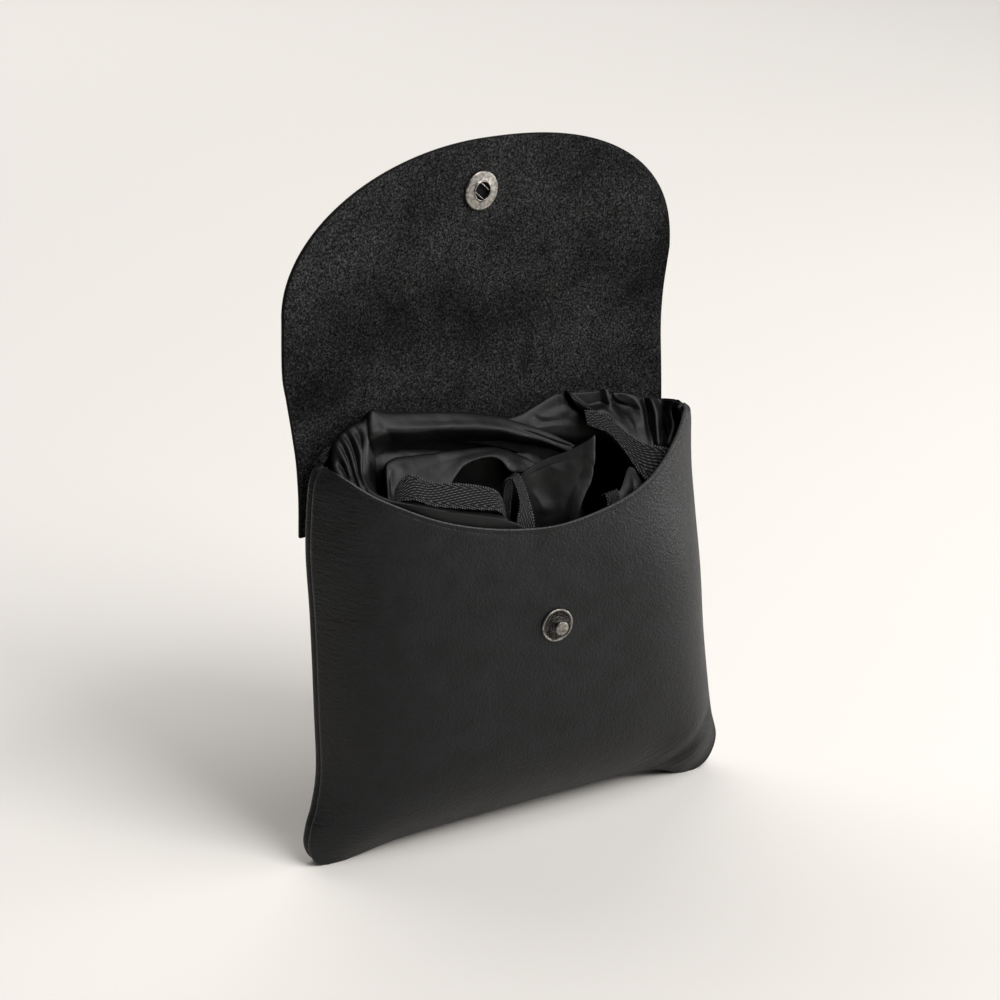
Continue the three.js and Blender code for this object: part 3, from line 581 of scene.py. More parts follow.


# %% [markdown]
# ## The two sides of the leather
# The smooth side is dyed through and only lightly finished, so it shows fine pebbles and, where the
# pouch bends at its sides and corners, rows of shallow wrinkles. Each row of wrinkles is noise drawn
# out in one direction and masked to its corner. The flesh side is a short nap: fine specks from nearly
# black to grey, in broad clouds. A band across the flap and its right side are painted darker, as painted
# shade.


# %% Smooth side of the leather
def grain_leather():
    look, tree, shader = new_finish("grain_leather", grey(0.01), 0.5, Specular_IOR_Level=0.26)
    x, z = object_axes(tree)
    pebbles = add_node(tree, "ShaderNodeTexVoronoi", {"Scale": 1.0}, feature="SMOOTH_F1")
    tree.links.new(object_place(tree, 0.8), pebbles.inputs["Vector"])
    level = bump(tree, shader, speckle(tree, 3.0, 4.0, distortion=0.6), 0.3, 0.5)
    wrinkled = [
        (streaks(tree, -14, 8.0, 1.0), (rising(tree, x, -50, -76), rising(tree, z, 40, 100)), 0.34),
        (streaks(tree, 2, 9.0, 1.2), (rising(tree, x, -58, -80), rising(tree, z, 70, 20)), 0.24),
        (streaks(tree, 48, 10.0, 1.3), (rising(tree, x, 20, 62), rising(tree, z, 60, 125)), 0.4),
        (streaks(tree, 35, 9.0, 1.5), (rising(tree, x, 30, 62), rising(tree, z, 34, 8)), 0.6),
    ]
    for pattern, masks, depth in wrinkled:
        level = bump(tree, shader, product(tree, pattern, *masks), depth, 0.9, level)
    bump(tree, shader, pebbles.outputs["Distance"], 0.22, 0.75, level)
    patches = speckle(tree, 9.0, 3.0)
    mixed = product(tree, speckle(tree, 0.8, 3.0, roughness=0.7), patches)
    coloured(tree, shader, mixed, [(0.12, (0.0016, 0.0018, 0.0022)), (0.42, (0.0088, 0.0094, 0.0106))])
    roughened(tree, shader, patches, 0.4, 0.6)
    return look


# %% Flesh side of the leather
def suede():
    look, tree, shader = new_finish("suede", grey(0.006), 0.95, Specular_IOR_Level=0.04)
    x, z = object_axes(tree)
    nap = speckle(tree, 0.75, 4.0, roughness=0.75)
    clouds = speckle(tree, 26.0, 4.0, roughness=0.6, distortion=0.4)
    fibres = shades(tree, nap, [(0.36, grey(0.0006)), (0.51, grey(0.0135)), (0.67, (0.06, 0.06, 0.061))])
    # painted shade: a band across the middle of the flap is darkened
    height = math_node(tree, "MULTIPLY_ADD", x, -0.1, z)  # painted shade: the darkened band climbs a little to the right
    shade_band = (rising(tree, height, 166, 186), rising(tree, height, 214, 192), rising(tree, x, 95, -30))
    clouds_and_shade = math_node(tree, "MULTIPLY_ADD", product(tree, *shade_band), -0.24, clouds)
    # painted shade: the right side of the flap is darkened
    clouds_and_shade = math_node(tree, "MULTIPLY_ADD", rising(tree, x, 30, 78), -0.2, clouds_and_shade)
    tone_and_shade = shades(tree, clouds_and_shade, [(0.15, grey(0.32)), (0.42, grey(0.95)), (0.62, grey(1.35))])
    tree.links.new(tinted(tree, fibres, tone_and_shade), shader.inputs["Base Color"])
    bump(tree, shader, nap, 0.5, 0.6)
    return look


# %% Finishes that are one speckle: the cut edges, the coated inside of the nylon, partly painted shade, and the plating, one kind of it painted shade
def speckled(name, colour, roughness, size, detail, stops, relief=None, **settings):
    look, tree, shader = new_finish(name, colour, roughness, **settings)
    spots = speckle(tree, size, detail)
    coloured(tree, shader, spots, stops)
    if relief:
        bump(tree, shader, spots, *relief)
    return look


def cut_finish(name, dark, light):
    stops = [(0.3, grey(dark)), (0.7, grey(light))]
    return speckled(name, grey(light), 0.85, 0.6, 4.0, stops, (0.25, 0.6), Specular_IOR_Level=0.15)


# %% Thin nylon cloth
def nylon_cloth():
    look, tree, shader = new_finish("nylon_cloth", (0.0018, 0.0018, 0.0019), 0.48, Specular_IOR_Level=0.3)
    threads = add_node(tree, "ShaderNodeTexWave", {"Scale": 1.0}, wave_type="BANDS", bands_direction="X")
    tree.links.new(flat_place(tree, (2.2, 2.2)), threads.inputs["Vector"])
    roughened(tree, shader, speckle(tree, 11.0, 2.0), 0.44, 0.56)
    crinkled = bump(tree, shader, speckle(tree, 5.0, 3.0, distortion=0.8), 0.5, 0.3)
    bump(tree, shader, threads.outputs["Fac"], 0.02, 0.25, crinkled)
    return look


# %% [markdown]
# ## Herringbone handle tape
# The weave is a twill of short floats. They lean one way down the middle of the tape and the other way
# near both edges, and a row of thread loops closes each edge. A picture of the weave would do as well,
# but a sum on the tape's own flat coordinates keeps it sharp and follows every twist.


# %% Herringbone weave
def herringbone():
    look, tree, shader = new_finish("herringbone_tape", (0.03, 0.03, 0.031), 0.8, Specular_IOR_Level=0.2)

    def sums(operation, *values):
        return math_node(tree, operation, *values)

    def wave(value, length):
        return sums("SINE", sums("MULTIPLY", value, 2 * math.pi / length))

    parts = add_node(tree, "ShaderNodeSeparateXYZ")
    tree.links.new(flat_place(tree), parts.inputs["Vector"])
    along, across = parts.outputs["X"], parts.outputs["Y"]
    off_middle = sums("ABSOLUTE", sums("SUBTRACT", across, weave["across"] / 2))
    leaning = sums("SIGN", sums("SUBTRACT", weave["middle"], off_middle))
    slanted = sums("ADD", across, product(tree, along, weave["slant"], leaning))
    row = sums("DIVIDE", slanted, weave["row"])
    ribs = wave(row, 1.0)
    shifted = sums("MULTIPLY", sums("FLOOR", sums("ADD", row, 0.25)), math.pi)  # half a float further
    turned = sums("MULTIPLY", along, 2 * math.pi / weave["float_length"])
    dashes = sums("SINE", sums("ADD", turned, shifted))
    thread = shades(tree, ribs, [
        (0.0, grey(0.002)), (0.3, (0.03, 0.03, 0.031)), (0.9, (0.085, 0.085, 0.087)),
    ])
    worn = shades(tree, dashes, [(0.0, grey(0.4)), (0.45, grey(1.0))])
    loops = shades(tree, wave(along, weave["loop"]), [(0.0, grey(0.008)), (0.7, grey(0.1))])
    colour = add_node(tree, "ShaderNodeMix", data_type="RGBA")
    at_edge = sums("GREATER_THAN", off_middle, weave["across"] / 2 - weave["selvedge"])
    tree.links.new(at_edge, colour.inputs["Factor"])
    tree.links.new(tinted(tree, thread, worn), colour.inputs[6])
    tree.links.new(loops, colour.inputs[7])
    tree.links.new(colour.outputs[2], shader.inputs["Base Color"])
    bump(tree, shader, ribs, 0.2, 0.6)
    return look


# %% Waxed thread, twisted from three strands
def waxed_thread():
    look, tree, shader = new_finish("waxed_thread", grey(0.012), 0.5, Specular_IOR_Level=0.4)
    twist = add_node(tree, "ShaderNodeTexWave", {"Scale": 1.0}, wave_type="BANDS", bands_direction="DIAGONAL")
    tree.links.new(object_place(tree, 3.0), twist.inputs["Vector"])
    coloured(tree, shader, twist.outputs["Fac"], [(0.2, grey(0.003)), (0.7, (0.024, 0.024, 0.025))])
    bump(tree, shader, twist.outputs["Fac"], 0.12, 0.6)
    return look


# %% Make every finish
GRAIN, SUEDE = grain_leather(), suede()
EDGE, DYED = cut_finish("raw_edge", 0.03, 0.13), cut_finish("dyed_edge", 0.001, 0.006)
NYLON = nylon_cloth()
# the inside face of the cup: partly the duller coated side of the nylon, partly painted shade for the cloth
# deep in the pouch
DULL_SHADED_NYLON = speckled(
    "coated_nylon_and_shade", grey(0.002), 0.8, 5.0, 2.0, [(0.3, grey(0.0012)), (0.7, grey(0.003))], (0.5, 0.4),
    Specular_IOR_Level=0.06,
)
TAPE = herringbone()
SILVER = speckled(
    "old_silver", (0.42, 0.4, 0.37), 0.42, 1.3, 4.0,
    [(0.3, (0.1, 0.093, 0.083)), (0.62, (0.33, 0.31, 0.285))], (0.05, 0.4), Metallic=1.0,
)
# painted shade: a darker copy of the plating, put on the faces of the stud that lie in shade
PLATING_IN_SHADE = speckled(
    "plating_painted_shade", (0.03, 0.028, 0.026), 0.55, 0.5, 3.0,
    [(0.4, (0.02, 0.019, 0.018)), (0.7, (0.12, 0.115, 0.11))], Metallic=1.0,
)
THREAD = waxed_thread()
looks = (GRAIN, SUEDE, EDGE, DYED, NYLON, DULL_SHADED_NYLON, TAPE, SILVER, PLATING_IN_SHADE, THREAD)
print("finishes:", [look.name for look in looks])

# %% [markdown]
# ## The two panels and their turned seam
# The panels are sewn together inside out and then turned, so each one rolls over at the edge and its
# allowance goes back inside. From outside the seam shows as two soft rolls side by side with a dark
# groove between them. The roll is a strip along the outline, and the face is a patch stretched
# between the strip's first line and the cut edge at the mouth.

# %% How finely the panels are divided
PANEL_ACROSS, PANEL_DOWN, ROLL_STEPS = 150, 110, 12
EDGE_ROWS, EDGE_SHARE = 11, 0.024  # closer rows, for the line that a creasing iron leaves by the edge
side_lean, bottom_lean = 1.7, 0.75  # how much the other rows crowd towards the ends
by_the_edge = np.linspace(0, EDGE_SHARE, EDGE_ROWS)
below_it = 1 - (1 - np.linspace(0, 1, PANEL_DOWN + 2 - EDGE_ROWS)) ** side_lean
side_shares = np.concatenate([by_the_edge, blend(by_the_edge[-1], 1, below_it[1:])])
even = np.linspace(0, 1, PANEL_ACROSS + 1)
bottom_shares = blend(even, 0.5 - 0.5 * np.cos(np.pi * even), bottom_lean)
left_corner = (outline_share[lowest_on(-1)] + outline_share[widest_on(-1)]) / 2
right_corner = (outline_share[lowest_on(1)] + outline_share[widest_on(1)]) / 2
station_shares = np.concatenate([
    side_shares * left_corner,
    blend(left_corner, right_corner, bottom_shares[1:]),
    blend(1, right_corner, side_shares[:-1][::-1]),
])
print("roll: %d stations of %d points" % (len(station_shares), ROLL_STEPS + 2))


# %% The roll along the outline
def on_outline(shares):
    """Places on the outline and the outward direction at each."""
    place = np.stack([np.interp(shares, outline_share, outline[:, k]) for k in range(3)], axis=-1)
    slope = np.gradient(outline, outline_share, axis=0)
    along = np.stack([np.interp(shares, outline_share, slope[:, k]) for k in range(3)], axis=-1)
    along /= np.linalg.norm(along, axis=1, keepdims=True)
    return place, np.stack([along[:, 2], np.zeros(len(along)), -along[:, 0]], axis=-1)


def on_ground(grid, least):
    grid = grid.copy()
    grid[..., 2] = np.maximum(grid[..., 2], least)
    return grid


def seam_strip(side):
    place, out = on_outline(station_shares)
    angles = np.linspace(seam["leaves"], -math.pi / 2, ROLL_STEPS + 1)
    in_lobe = (place[:, 2] < lobe["height"]) & (abs(place[:, 0]) > lobe["reach"])
    allowance = np.where(in_lobe, lobe["allowance"], seam["allowance"])
    to_mouth = smooth((place[:, 2] - seam["trim_from"]) / seam["trim_over"])
    allowance = blend(allowance, seam["trimmed"], to_mouth)[:, None]
    middle = place - out * seam["radius"]
    middle[:, 1] = side * (leather["gap"] / 2 + seam["radius"])

    def skin(radius, least):
        lines = []
        for angle in angles:
            line = middle + out * radius * math.cos(angle)
            line[:, 1] += side * radius * math.sin(angle)
            lines.append(line)
        tip = lines[-1] - out * allowance
        tip[:, 1] -= side * leather["gap"] / 2  # sewn edge to edge, the two allowances touch
        lines.append(tip)
        return on_ground(np.stack(lines, axis=1), least)

    return skin(seam["radius"], 0.0), skin(seam["radius"] - leather["thick"], leather["flattened"])


# %% The face between the roll and the mouth
def face_patch(rim, inner_rim, side, top_height, face_at, settle):
    down, across = PANEL_DOWN, PANEL_ACROSS
    left, bottom, right = rim[: down + 1], rim[down: down + across + 1], rim[down + across:][::-1]
    s, t = bottom_shares[:, None], side_shares[None, :]
    top_x = blend(left[0, 0], right[0, 0], bottom_shares)
    top_z = top_height(top_x)
    top_z[0], top_z[-1] = left[0, 2], right[0, 2]

    def stretched(axis, top):
        corners_top = blend(left[0, axis], right[0, axis], s)
        corners_low = blend(left[-1, axis], right[-1, axis], s)
        up_and_down = blend(top[:, None], bottom[:, None, axis], t)
        side_to_side = blend(left[None, :, axis], right[None, :, axis], s)
        return up_and_down + side_to_side - blend(corners_top, corners_low, t)

    x, z = stretched(0, top_x), stretched(2, top_z)
    grain = settle(np.stack([x, face_at(x, z), z], axis=-1))
    from_edge = np.linalg.norm(grain - grain[:, :1], axis=-1)
    off_line = (from_edge - leather["creased_at"]) / leather["creased_wide"]
    iron = leather["creased_deep"] * np.exp(-(off_line**2))
    grain = grain - side * iron[..., None] * grid_normals(grain)
    grain[0], grain[-1], grain[:, -1] = left, right, bottom
    flesh = on_ground(grain - side * leather["thick"] * grid_normals(grain), leather["flattened"])
    flesh[0], flesh[-1] = inner_rim[: down + 1], inner_rim[down + across:][::-1]
    flesh[:, -1] = inner_rim[down: down + across + 1]
    return grain, flesh


# %% The two panels, of which the back one sags
def still(grid):
    return grid


def sagging(grid):
    """The back panel sags behind the raised seam, so that the pouch rests on it."""
    above = grid[..., 2] - bottom_edge(grid[..., 0]) - ROLL_INSET
    across = np.maximum(1 - (grid[..., 0] / belly["half_width"]) ** 4, 0)
    fading = np.exp(-np.maximum(above, 0) / belly["fade"])
    grid = grid.copy()
    grid[..., 2] -= belly["drop"] * across * swollen(above, belly["rate"]) * fading
    return on_ground(grid, 0.0)


def panel(name, side, top_height, face_at, settle, edge):
    roll, inner_roll = seam_strip(side)
    grain, flesh = face_patch(roll[:, 0], inner_roll[:, 0], side, top_height, face_at, settle)
    parts = [
        (grain, False, 0, None),
        (flesh, True, 1, None),
        (cut_edge(grain[:, 0], flesh[:, 0]), False, 2, None),
        (roll, False, 0, None),
        (inner_roll, True, 1, None),
        (cut_edge(inner_roll[0], roll[0]), False, 2, None),
        (cut_edge(roll[-1], inner_roll[-1]), False, 2, None),
        (cut_edge(inner_roll[:, -1], roll[:, -1]), False, 2, None),
    ]
    return make_piece(name, parts, [GRAIN, SUEDE, edge])


front_piece = panel("pouch_front", -1, mouth_height, front_face, still, EDGE)
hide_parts("front_panel")
back_piece = panel("pouch_back", 1, back_top, back_face, sagging, DYED)
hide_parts("back_panel")

# %% [markdown]
# ## The flap
# The flap is one layer of the same leather with its flesh side to the front. It is sewn to the back
# of the pouch, stands up a little bowed, and its top is cut to a round arch.

# %% The flap as a bowed sheet
FLAP_ACROSS, FLAP_DOWN = 150, 130


def flap_grid():
    share = np.sin(np.pi / 2 * (2 * np.linspace(0, 1, FLAP_ACROSS + 1) - 1))
    rounding = np.where(share < 0, flap["left_round"], flap["right_round"])
    top = flap["straight"] + flap["arch"] * (1 - np.abs(share) ** rounding) ** (1 / rounding)
    z = blend(top[:, None], flap["foot"], np.linspace(0, 1, FLAP_DOWN + 1)[None, :])
    x = blend(flap_left(z), flap_right(z), (share[:, None] + 1) / 2)
    return np.stack([x, flap_face(x, z), z], axis=-1)


flap_suede = flap_grid()
flap_grain = flap_suede - leather["thick"] * facing(flap_face, flap_suede[..., 0], flap_suede[..., 2])
flap_parts = sheet_parts(flap_suede, flap_grain, (0, 1), 2)
flap_piece = make_piece("pouch_flap", flap_parts, [SUEDE, GRAIN, DYED])
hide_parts("flap")

# %% [markdown]
# ## The stitches that hold the flap
# The foot of the flap is sewn to the back of the pouch with one row of lockstitch. From outside, each
# stitch is a short length of thread that dips into a hole at both ends. One stitch is made as a
# stretched sphere, and copies of it are set along the foot and joined into one piece.

# %% Where the stitches lie along the foot of the flap
STITCH = dict(length=2.7, thick=0.75, pitch=3.6, above_foot=3.4, inset=4.0, proud=0.12)
stitch_height = flap["foot"] + STITCH["above_foot"]
first_stitch = flap_left(stitch_height) + STITCH["inset"]
last_stitch = flap_right(stitch_height) - STITCH["inset"]
stitch_count = int((last_stitch - first_stitch) / STITCH["pitch"]) + 1


def stitch_place(x):
    """The place and turn of the stitch at x, on the grain side of the flap."""
    out = facing(flap_face, np.array(x), np.array(stitch_height)) * (leather["thick"] + STITCH["proud"])
    middle = np.array([x, flap_face(x, stitch_height), stitch_height]) - out
    along = Vector((1, flap_face(x + 0.5, stitch_height) - flap_face(x - 0.5, stitch_height), 0))
    turned = along.to_track_quat("X", "Z").to_matrix().to_4x4()
    return Matrix.Translation(Vector((middle + ORIGIN) * MM)) @ turned


# %% Make one stitch, copy it, and join the copies
bpy.ops.object.select_all(action="DESELECT")
bpy.ops.mesh.primitive_uv_sphere_add(segments=12, ring_count=8, radius=0.5)
one_stitch = bpy.context.object
one_stitch.scale = (STITCH["length"] * MM, STITCH["thick"] * MM, STITCH["thick"] * MM)
bpy.ops.object.transform_apply(location=False, rotation=False, scale=True)
for x in np.linspace(first_stitch, last_stitch, stitch_count):
    copy = one_stitch.copy()
    copy.data = one_stitch.data.copy()
    bpy.context.collection.objects.link(copy)
    copy.matrix_world = stitch_place(x)
    copy.select_set(True)
one_stitch.select_set(False)
bpy.context.view_layer.objects.active = copy
bpy.ops.object.join()
stitches = bpy.context.object
bpy.data.objects.remove(one_stitch)
bpy.ops.object.transform_apply(location=True, rotation=True, scale=True)
bpy.ops.object.shade_smooth()
stitches.data.materials.append(THREAD)
stitches.name = stitches.data.name = "flap_stitches"
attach(stitches, "root")
print("flap_stitches: %d stitches" % stitch_count)

# %% [markdown]
# ## The snap fastener
# A snap is stamped from thin brass and plated with silver, and the faces in its hollows are painted
# darker as painted shade. Its stud half is a shallow dish with a ribbed floor and a post, and its
# socket half is a ring with two spring wires across the hole. Both are round, so each starts as a
# circle whose edge is extruded and scaled ring by ring. Turning a drawn profile with a spin would do
# as well, but the rings are easy to read off a real snap with a gauge.


# %% A round part, ring by ring
def stamped(rings, sides):
    """A round part: a circle at the first radius and height, whose edge is extruded through the rest."""
    bpy.ops.object.select_all(action="DESELECT")
    radius, height = rings[0]
    bpy.ops.mesh.primitive_circle_add(
        vertices=sides, radius=radius * MM, fill_type="NGON", location=(0, 0, height * MM)
    )
    part = bpy.context.object
    bpy.ops.object.transform_apply(location=True, rotation=True, scale=True)
    bpy.ops.object.mode_set(mode="EDIT")
    bpy.ops.mesh.select_all(action="SELECT")
    bpy.ops.mesh.region_to_loop()
    for next_radius, next_height in rings[1:]:
        upwards = (0, 0, (next_height - height) * MM)
        bpy.ops.mesh.extrude_edges_move(TRANSFORM_OT_translate={"value": upwards})
        share = next_radius / radius
        bpy.ops.transform.resize(value=(share, share, 1), center_override=(0, 0, 0))
        radius, height = next_radius, next_height
    bpy.ops.mesh.edge_face_add()
    return part


# %% Painted shade in the hollows, and rounded edges
ROUNDING = 0.09 * MM
SHARP_FROM, SMOOTH_UP_TO = math.radians(25), math.radians(35)


def pick_faces(part, wanted):
    """Selects the faces whose radius, height and angle are wanted."""
    bpy.ops.mesh.select_mode(type="FACE")
    bpy.ops.mesh.select_all(action="DESELECT")
    work = bmesh.from_edit_mesh(part.data)
    for face in work.faces:
        x, y, z = face.calc_center_median() / MM
        face.select_set(bool(wanted(math.hypot(x, y), z, math.atan2(y, x))))
    bmesh.update_edit_mesh(part.data)


def close_up(part, looks, in_painted_shade=None):
    """Leaves edit mode with faces outwards, the looks on, and the faces in shade in the second look, which
    paints that shade.
    """
    bpy.ops.mesh.select_all(action="SELECT")
    bpy.ops.mesh.normals_make_consistent(inside=False)
    for look in looks:
        part.data.materials.append(look)
    if in_painted_shade:
        pick_faces(part, in_painted_shade)
        part.active_material_index = 1
        bpy.ops.object.material_slot_assign()
    bpy.ops.object.mode_set(mode="OBJECT")
    softener = part.modifiers.new("rounding", "BEVEL")
    softener.width = ROUNDING
    softener.segments = 2
    softener.limit_method = "ANGLE"
    softener.angle_limit = SHARP_FROM
    bpy.ops.object.modifier_apply(modifier=softener.name)
    bpy.ops.object.shade_smooth_by_angle(angle=SMOOTH_UP_TO)


# %% Seat a part on the leather
SUNK = 0.1  # each part is pressed this far into the leather


def seat(part, name, node, face_at, place, height, sense, turn=0.0):
    """Puts a part that was made round the Z axis on a leather face, and leaves its place in its mesh."""
    x, z = place["x"], place["z"]
    normal = facing(face_at, np.array(x), np.array(z))
    middle = np.array([x, face_at(x, z), z]) + height * normal + ORIGIN
    upright = Vector(normal * sense).to_track_quat("Z", "Y").to_matrix().to_4x4()
    spot = Matrix.Translation(Vector(middle * MM))
    part.matrix_world = spot @ upright @ Matrix.Rotation(turn, 4, "Z")
    bpy.ops.object.select_all(action="DESELECT")
    part.select_set(True)
    bpy.context.view_layer.objects.active = part
    bpy.ops.object.transform_apply(location=True, rotation=True, scale=True)
    part.name = part.data.name = name
    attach(part, "root")
    if node:
        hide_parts(node)
    print("%s: %d faces" % (name, len(part.data.polygons)))


# %% Stud: a dish with a rolled rim, a ribbed floor and a stepped post
stud_rings = [
    (5.7, 0.0), (6.2, 0.3), (6.25, 0.7), (6.0, 1.0), (5.6, 1.0),  # rolled rim
    (5.3, 0.45), (3.3, 0.45), (3.1, 0.7), (2.5, 0.7),  # floor and inner ring
    (1.7, 0.95), (1.5, 1.2), (1.5, 2.7),  # post
    (2.2, 2.9), (2.55, 3.2), (2.6, 3.9), (2.4, 4.2), (1.7, 4.35),  # head
]
RIBS = 44
rib = dict(inner=3.4, outer=5.2, below=0.6, angle=math.pi / RIBS, narrowed=0.03 * MM, raised=0.18 * MM)
FULL_TURN = 7  # radians, a little over one turn: it is added to an angle so that none is negative


def ribbed(radius, z, angle):
    on_floor = rib["inner"] < radius < rib["outer"] and z < rib["below"]
    return on_floor and int((angle + FULL_TURN) / rib["angle"]) % 2


stud_part = stamped(stud_rings, 2 * RIBS)
pick_faces(stud_part, ribbed)
bpy.ops.mesh.inset(use_individual=True, thickness=rib["narrowed"], depth=rib["raised"])
# painted shade: the dish's floor, its inner ring and the lower post take the darker plating
close_up(stud_part, [SILVER, PLATING_IN_SHADE], lambda radius, z, angle: radius < 5.4 and z < 2.8)
seat(stud_part, "stud", "snap_stud", front_face, stud, -SUNK, 1)

# %% Socket: a ring with a rolled rim, a raised lip and a deep hole
socket_rings = [
    (6.4, 0.0), (6.9, 0.3), (7.05, 0.7), (6.95, 1.15), (6.65, 1.4), (6.3, 1.42),  # rolled rim
    (3.85, 1.5), (3.65, 1.75), (3.4, 1.85), (3.2, 1.75), (3.1, 1.4), (3.05, 0.3),  # ring, lip and hole
]
socket_part = stamped(socket_rings, 96)
# painted shade: the wall of the hole takes the near-black dyed edge finish
close_up(socket_part, [SILVER, DYED], lambda radius, z, angle: radius < 3.15 and z < 1.6)
seat(socket_part, "socket", "snap_socket", flap_face, socket, -SUNK, 1)

# %% Socket's spring: two wires across the hole
spring = dict(radius=0.26 * MM, length=4.9 * MM, apart=1.95 * MM, height=1.05 * MM, turn=math.radians(-40))
for side, wire_name in ((-1, "spring_lower"), (1, "spring_upper")):
    bpy.ops.object.select_all(action="DESELECT")
    bpy.ops.mesh.primitive_cylinder_add(
        vertices=12, radius=spring["radius"], depth=spring["length"],
        location=(0, side * spring["apart"], spring["height"]), rotation=(0, math.pi / 2, 0),
    )
    wire = bpy.context.object
    bpy.ops.object.transform_apply(location=True, rotation=True, scale=True)
    bpy.ops.object.mode_set(mode="EDIT")
    close_up(wire, [SILVER])
    seat(wire, wire_name, None, flap_face, socket, -SUNK, 1, spring["turn"])

# %% Cap on the outside of the flap, and the rivet behind the stud
cap_rings = [
    (6.8, 0.0), (7.3, 0.2), (7.4, 0.55), (7.15, 0.85), (6.4, 1.15), (4.8, 1.6), (3.0, 1.88), (1.2, 1.98),
]
cap_part = stamped(cap_rings, 72)
close_up(cap_part, [SILVER])
seat(cap_part, "cap", "snap_cap", flap_face, socket, -leather["thick"] + SUNK, -1)
washer_rings = [(4.7, 0.0), (5.0, 0.25), (5.0, 0.55), (4.6, 0.8), (2.0, 0.95)]
washer_part = stamped(washer_rings, 48)
close_up(washer_part, [SILVER])
seat(washer_part, "washer", "stud_rivet", front_face, stud, -leather["thick"] + SUNK, -1)

# %% [markdown]
# ## The folded shopper
# The shopper is thin nylon, pushed into the pouch as a bundle. Its outermost layer lines the leather
# like a cup and rolls over into a cuff along the back. Each row of a table below is one fold of the
# cloth: where its cut lip lies, where it turns over, and where it hangs down inside the pouch.

# %% Where the cloth may lie between the two panels
cup = dict(
    wall_drop=15.0, waist=88.0, narrowing=0.93, front_foot=-8.0, back_foot=12.0, foot=17.0, centre=2.0,
    creased_from=130.0, creased_over=6.0,
)
fold_foot = dict(y=3.0, z=20.0, back_y=4.0, back_z=100.0)
panel_foot = dict(spread=1.3, y=-14.2, z=60.0)
held = dict(look_up=25.0, below_top=10.0, free=4.0)
behind, ahead = 40.0, -40.0  # depths beyond the panels: cloth placed there lies against the leather


def front_inside(x, z):
    return front_face(x, z) + leather["thick"] * steepness(front_face, x, z)


def back_inside(x, z):
    return back_face(x, z) - leather["thick"] * steepness(back_face, x, z)


def held_in(places):
    """Keeps places between the panels, here and a little higher, with room for the cloth."""
    places = np.asarray(places, float)
    x, y, z = places[..., 0], places[..., 1], places[..., 2]
    room = nylon["gap"] + nylon["thick"] / 2
    above = np.minimum(z + held["look_up"], back_top(x) - held["below_top"])
    below_mouth = np.minimum(above, mouth_height(x))
    nearest = np.maximum(front_inside(x, z), front_inside(x, below_mouth)) + room
    farthest = np.minimum(back_inside(x, z), back_inside(x, above)) - room
    kept = np.where(z > back_top(x) + held["free"], y, np.clip(y, nearest, farthest))
    return np.stack([x, kept, z], axis=-1)


def loft(rows, along, down, looped=False):
    """A smooth grid through a table's places: a line for each share along, a point for each share down."""
    lines = through(held_in(rows), along, looped)
    return np.moveaxis(through(np.moveaxis(lines, 1, 0), down), 0, 1)


# %% The cup: its tucked edge, its lip, its rim, its crown, and the depth at which it hangs
liner_rows = [
    ([-51.5, 10.5, 152.5], [-52.4, 8.5, 157.5], [-51.3, 9.6, 161.5], [-53, 10.8, 157], behind),
    ([-41, 12.5, 148], [-40.8, 10, 153.5], [-38.8, 11.5, 157.2], [-38, 14, 153], behind),
    ([-27, 13.5, 146.5], [-26.6, 10.5, 152], [-23, 12.5, 155.6], [-20, 15, 152], behind),
    ([-10, 14.5, 143], [-9.5, 11, 149], [-8, 12.5, 152.6], [-4, 15, 149.5], behind),
    ([8.8, 14.5, 140], [8, 10.5, 145.5], [7.5, 12.5, 151.4], [8, 16, 148], behind),
    ([23.5, 13.5, 138], [22.9, 10.5, 143.1], [18.5, 14, 154.4], [18, 16.5, 150], behind),
    ([34.5, 14, 135], [34.1, 11, 140.2], [27.5, 15, 156.6], [28, 17, 150.5], behind),
    ([41, 13.5, 134], [40.5, 11, 140.6], [35, 15.5, 152.6], [36, 17, 149], behind),
    ([47, 13, 134], [45.5, 11, 140], [41.5, 15.5, 149.6], [43, 16.5, 147.6], 17),
    ([52.5, 11.5, 134], [51, 9.5, 139.6], [50.5, 14.6, 147.6], [50.5, 16, 146.4], 16),
    ([57, 8, 132], [56, 6.4, 137], [58.5, 12.8, 146.6], [59, 13.8, 145.4], 12.5),
    ([58.5, 4.5, 129], [59.5, 3, 133.5], [65, 10, 145], [64, 10.4, 143.6], 8),
    ([58, -2, 129], [60.5, -3.6, 133.2], [66.5, 5, 145.8], [65, 4, 143.5], 3.5),
    ([57, -7, 127], [59.5, -9.5, 130.5], [62.6, -3.5, 138.5], [62.4, -4, 135], -4.5),
    ([54, -11, 112], [54.6, -13, 115], [56.4, ahead, 117], [57.4, ahead, 114], ahead),
    ([30, -17, 113], [30, -19.6, 116.5], [30, ahead, 118], [31, ahead, 115], ahead),
    ([3, -17, 113], [3, -19.8, 116], [3, ahead, 118], [3, ahead, 115], ahead),
    ([-14, -17, 121], [-14, -19.8, 124.5], [-14, ahead, 126.5], [-14, ahead, 123], ahead),
    ([-30, -17, 126], [-30, -19.6, 129.5], [-30, ahead, 131.5], [-30, ahead, 127.5], ahead),
    ([-46, -16, 131], [-46, -18.2, 134.5], [-46, ahead, 136.5], [-46, ahead, 132.5], ahead),
    ([-55.5, -9, 135], [-57, -10.5, 139], [-59.5, -12, 141], [-60.5, -13, 138], -12),
    ([-56, -5, 138.5], [-58.7, -6.4, 142.8], [-62, -5.4, 146.6], [-69.6, -2, 147.4], -3),
    ([-52.5, 3, 142.5], [-56, 0.2, 147.6], [-58.2, 0.6, 153.6], [-66, 5.5, 156], 6),
    ([-51, 6, 147], [-54.2, 3.4, 151.2], [-54.8, 5.6, 160.2], [-60.2, 8.2, 158.8], 10),
]


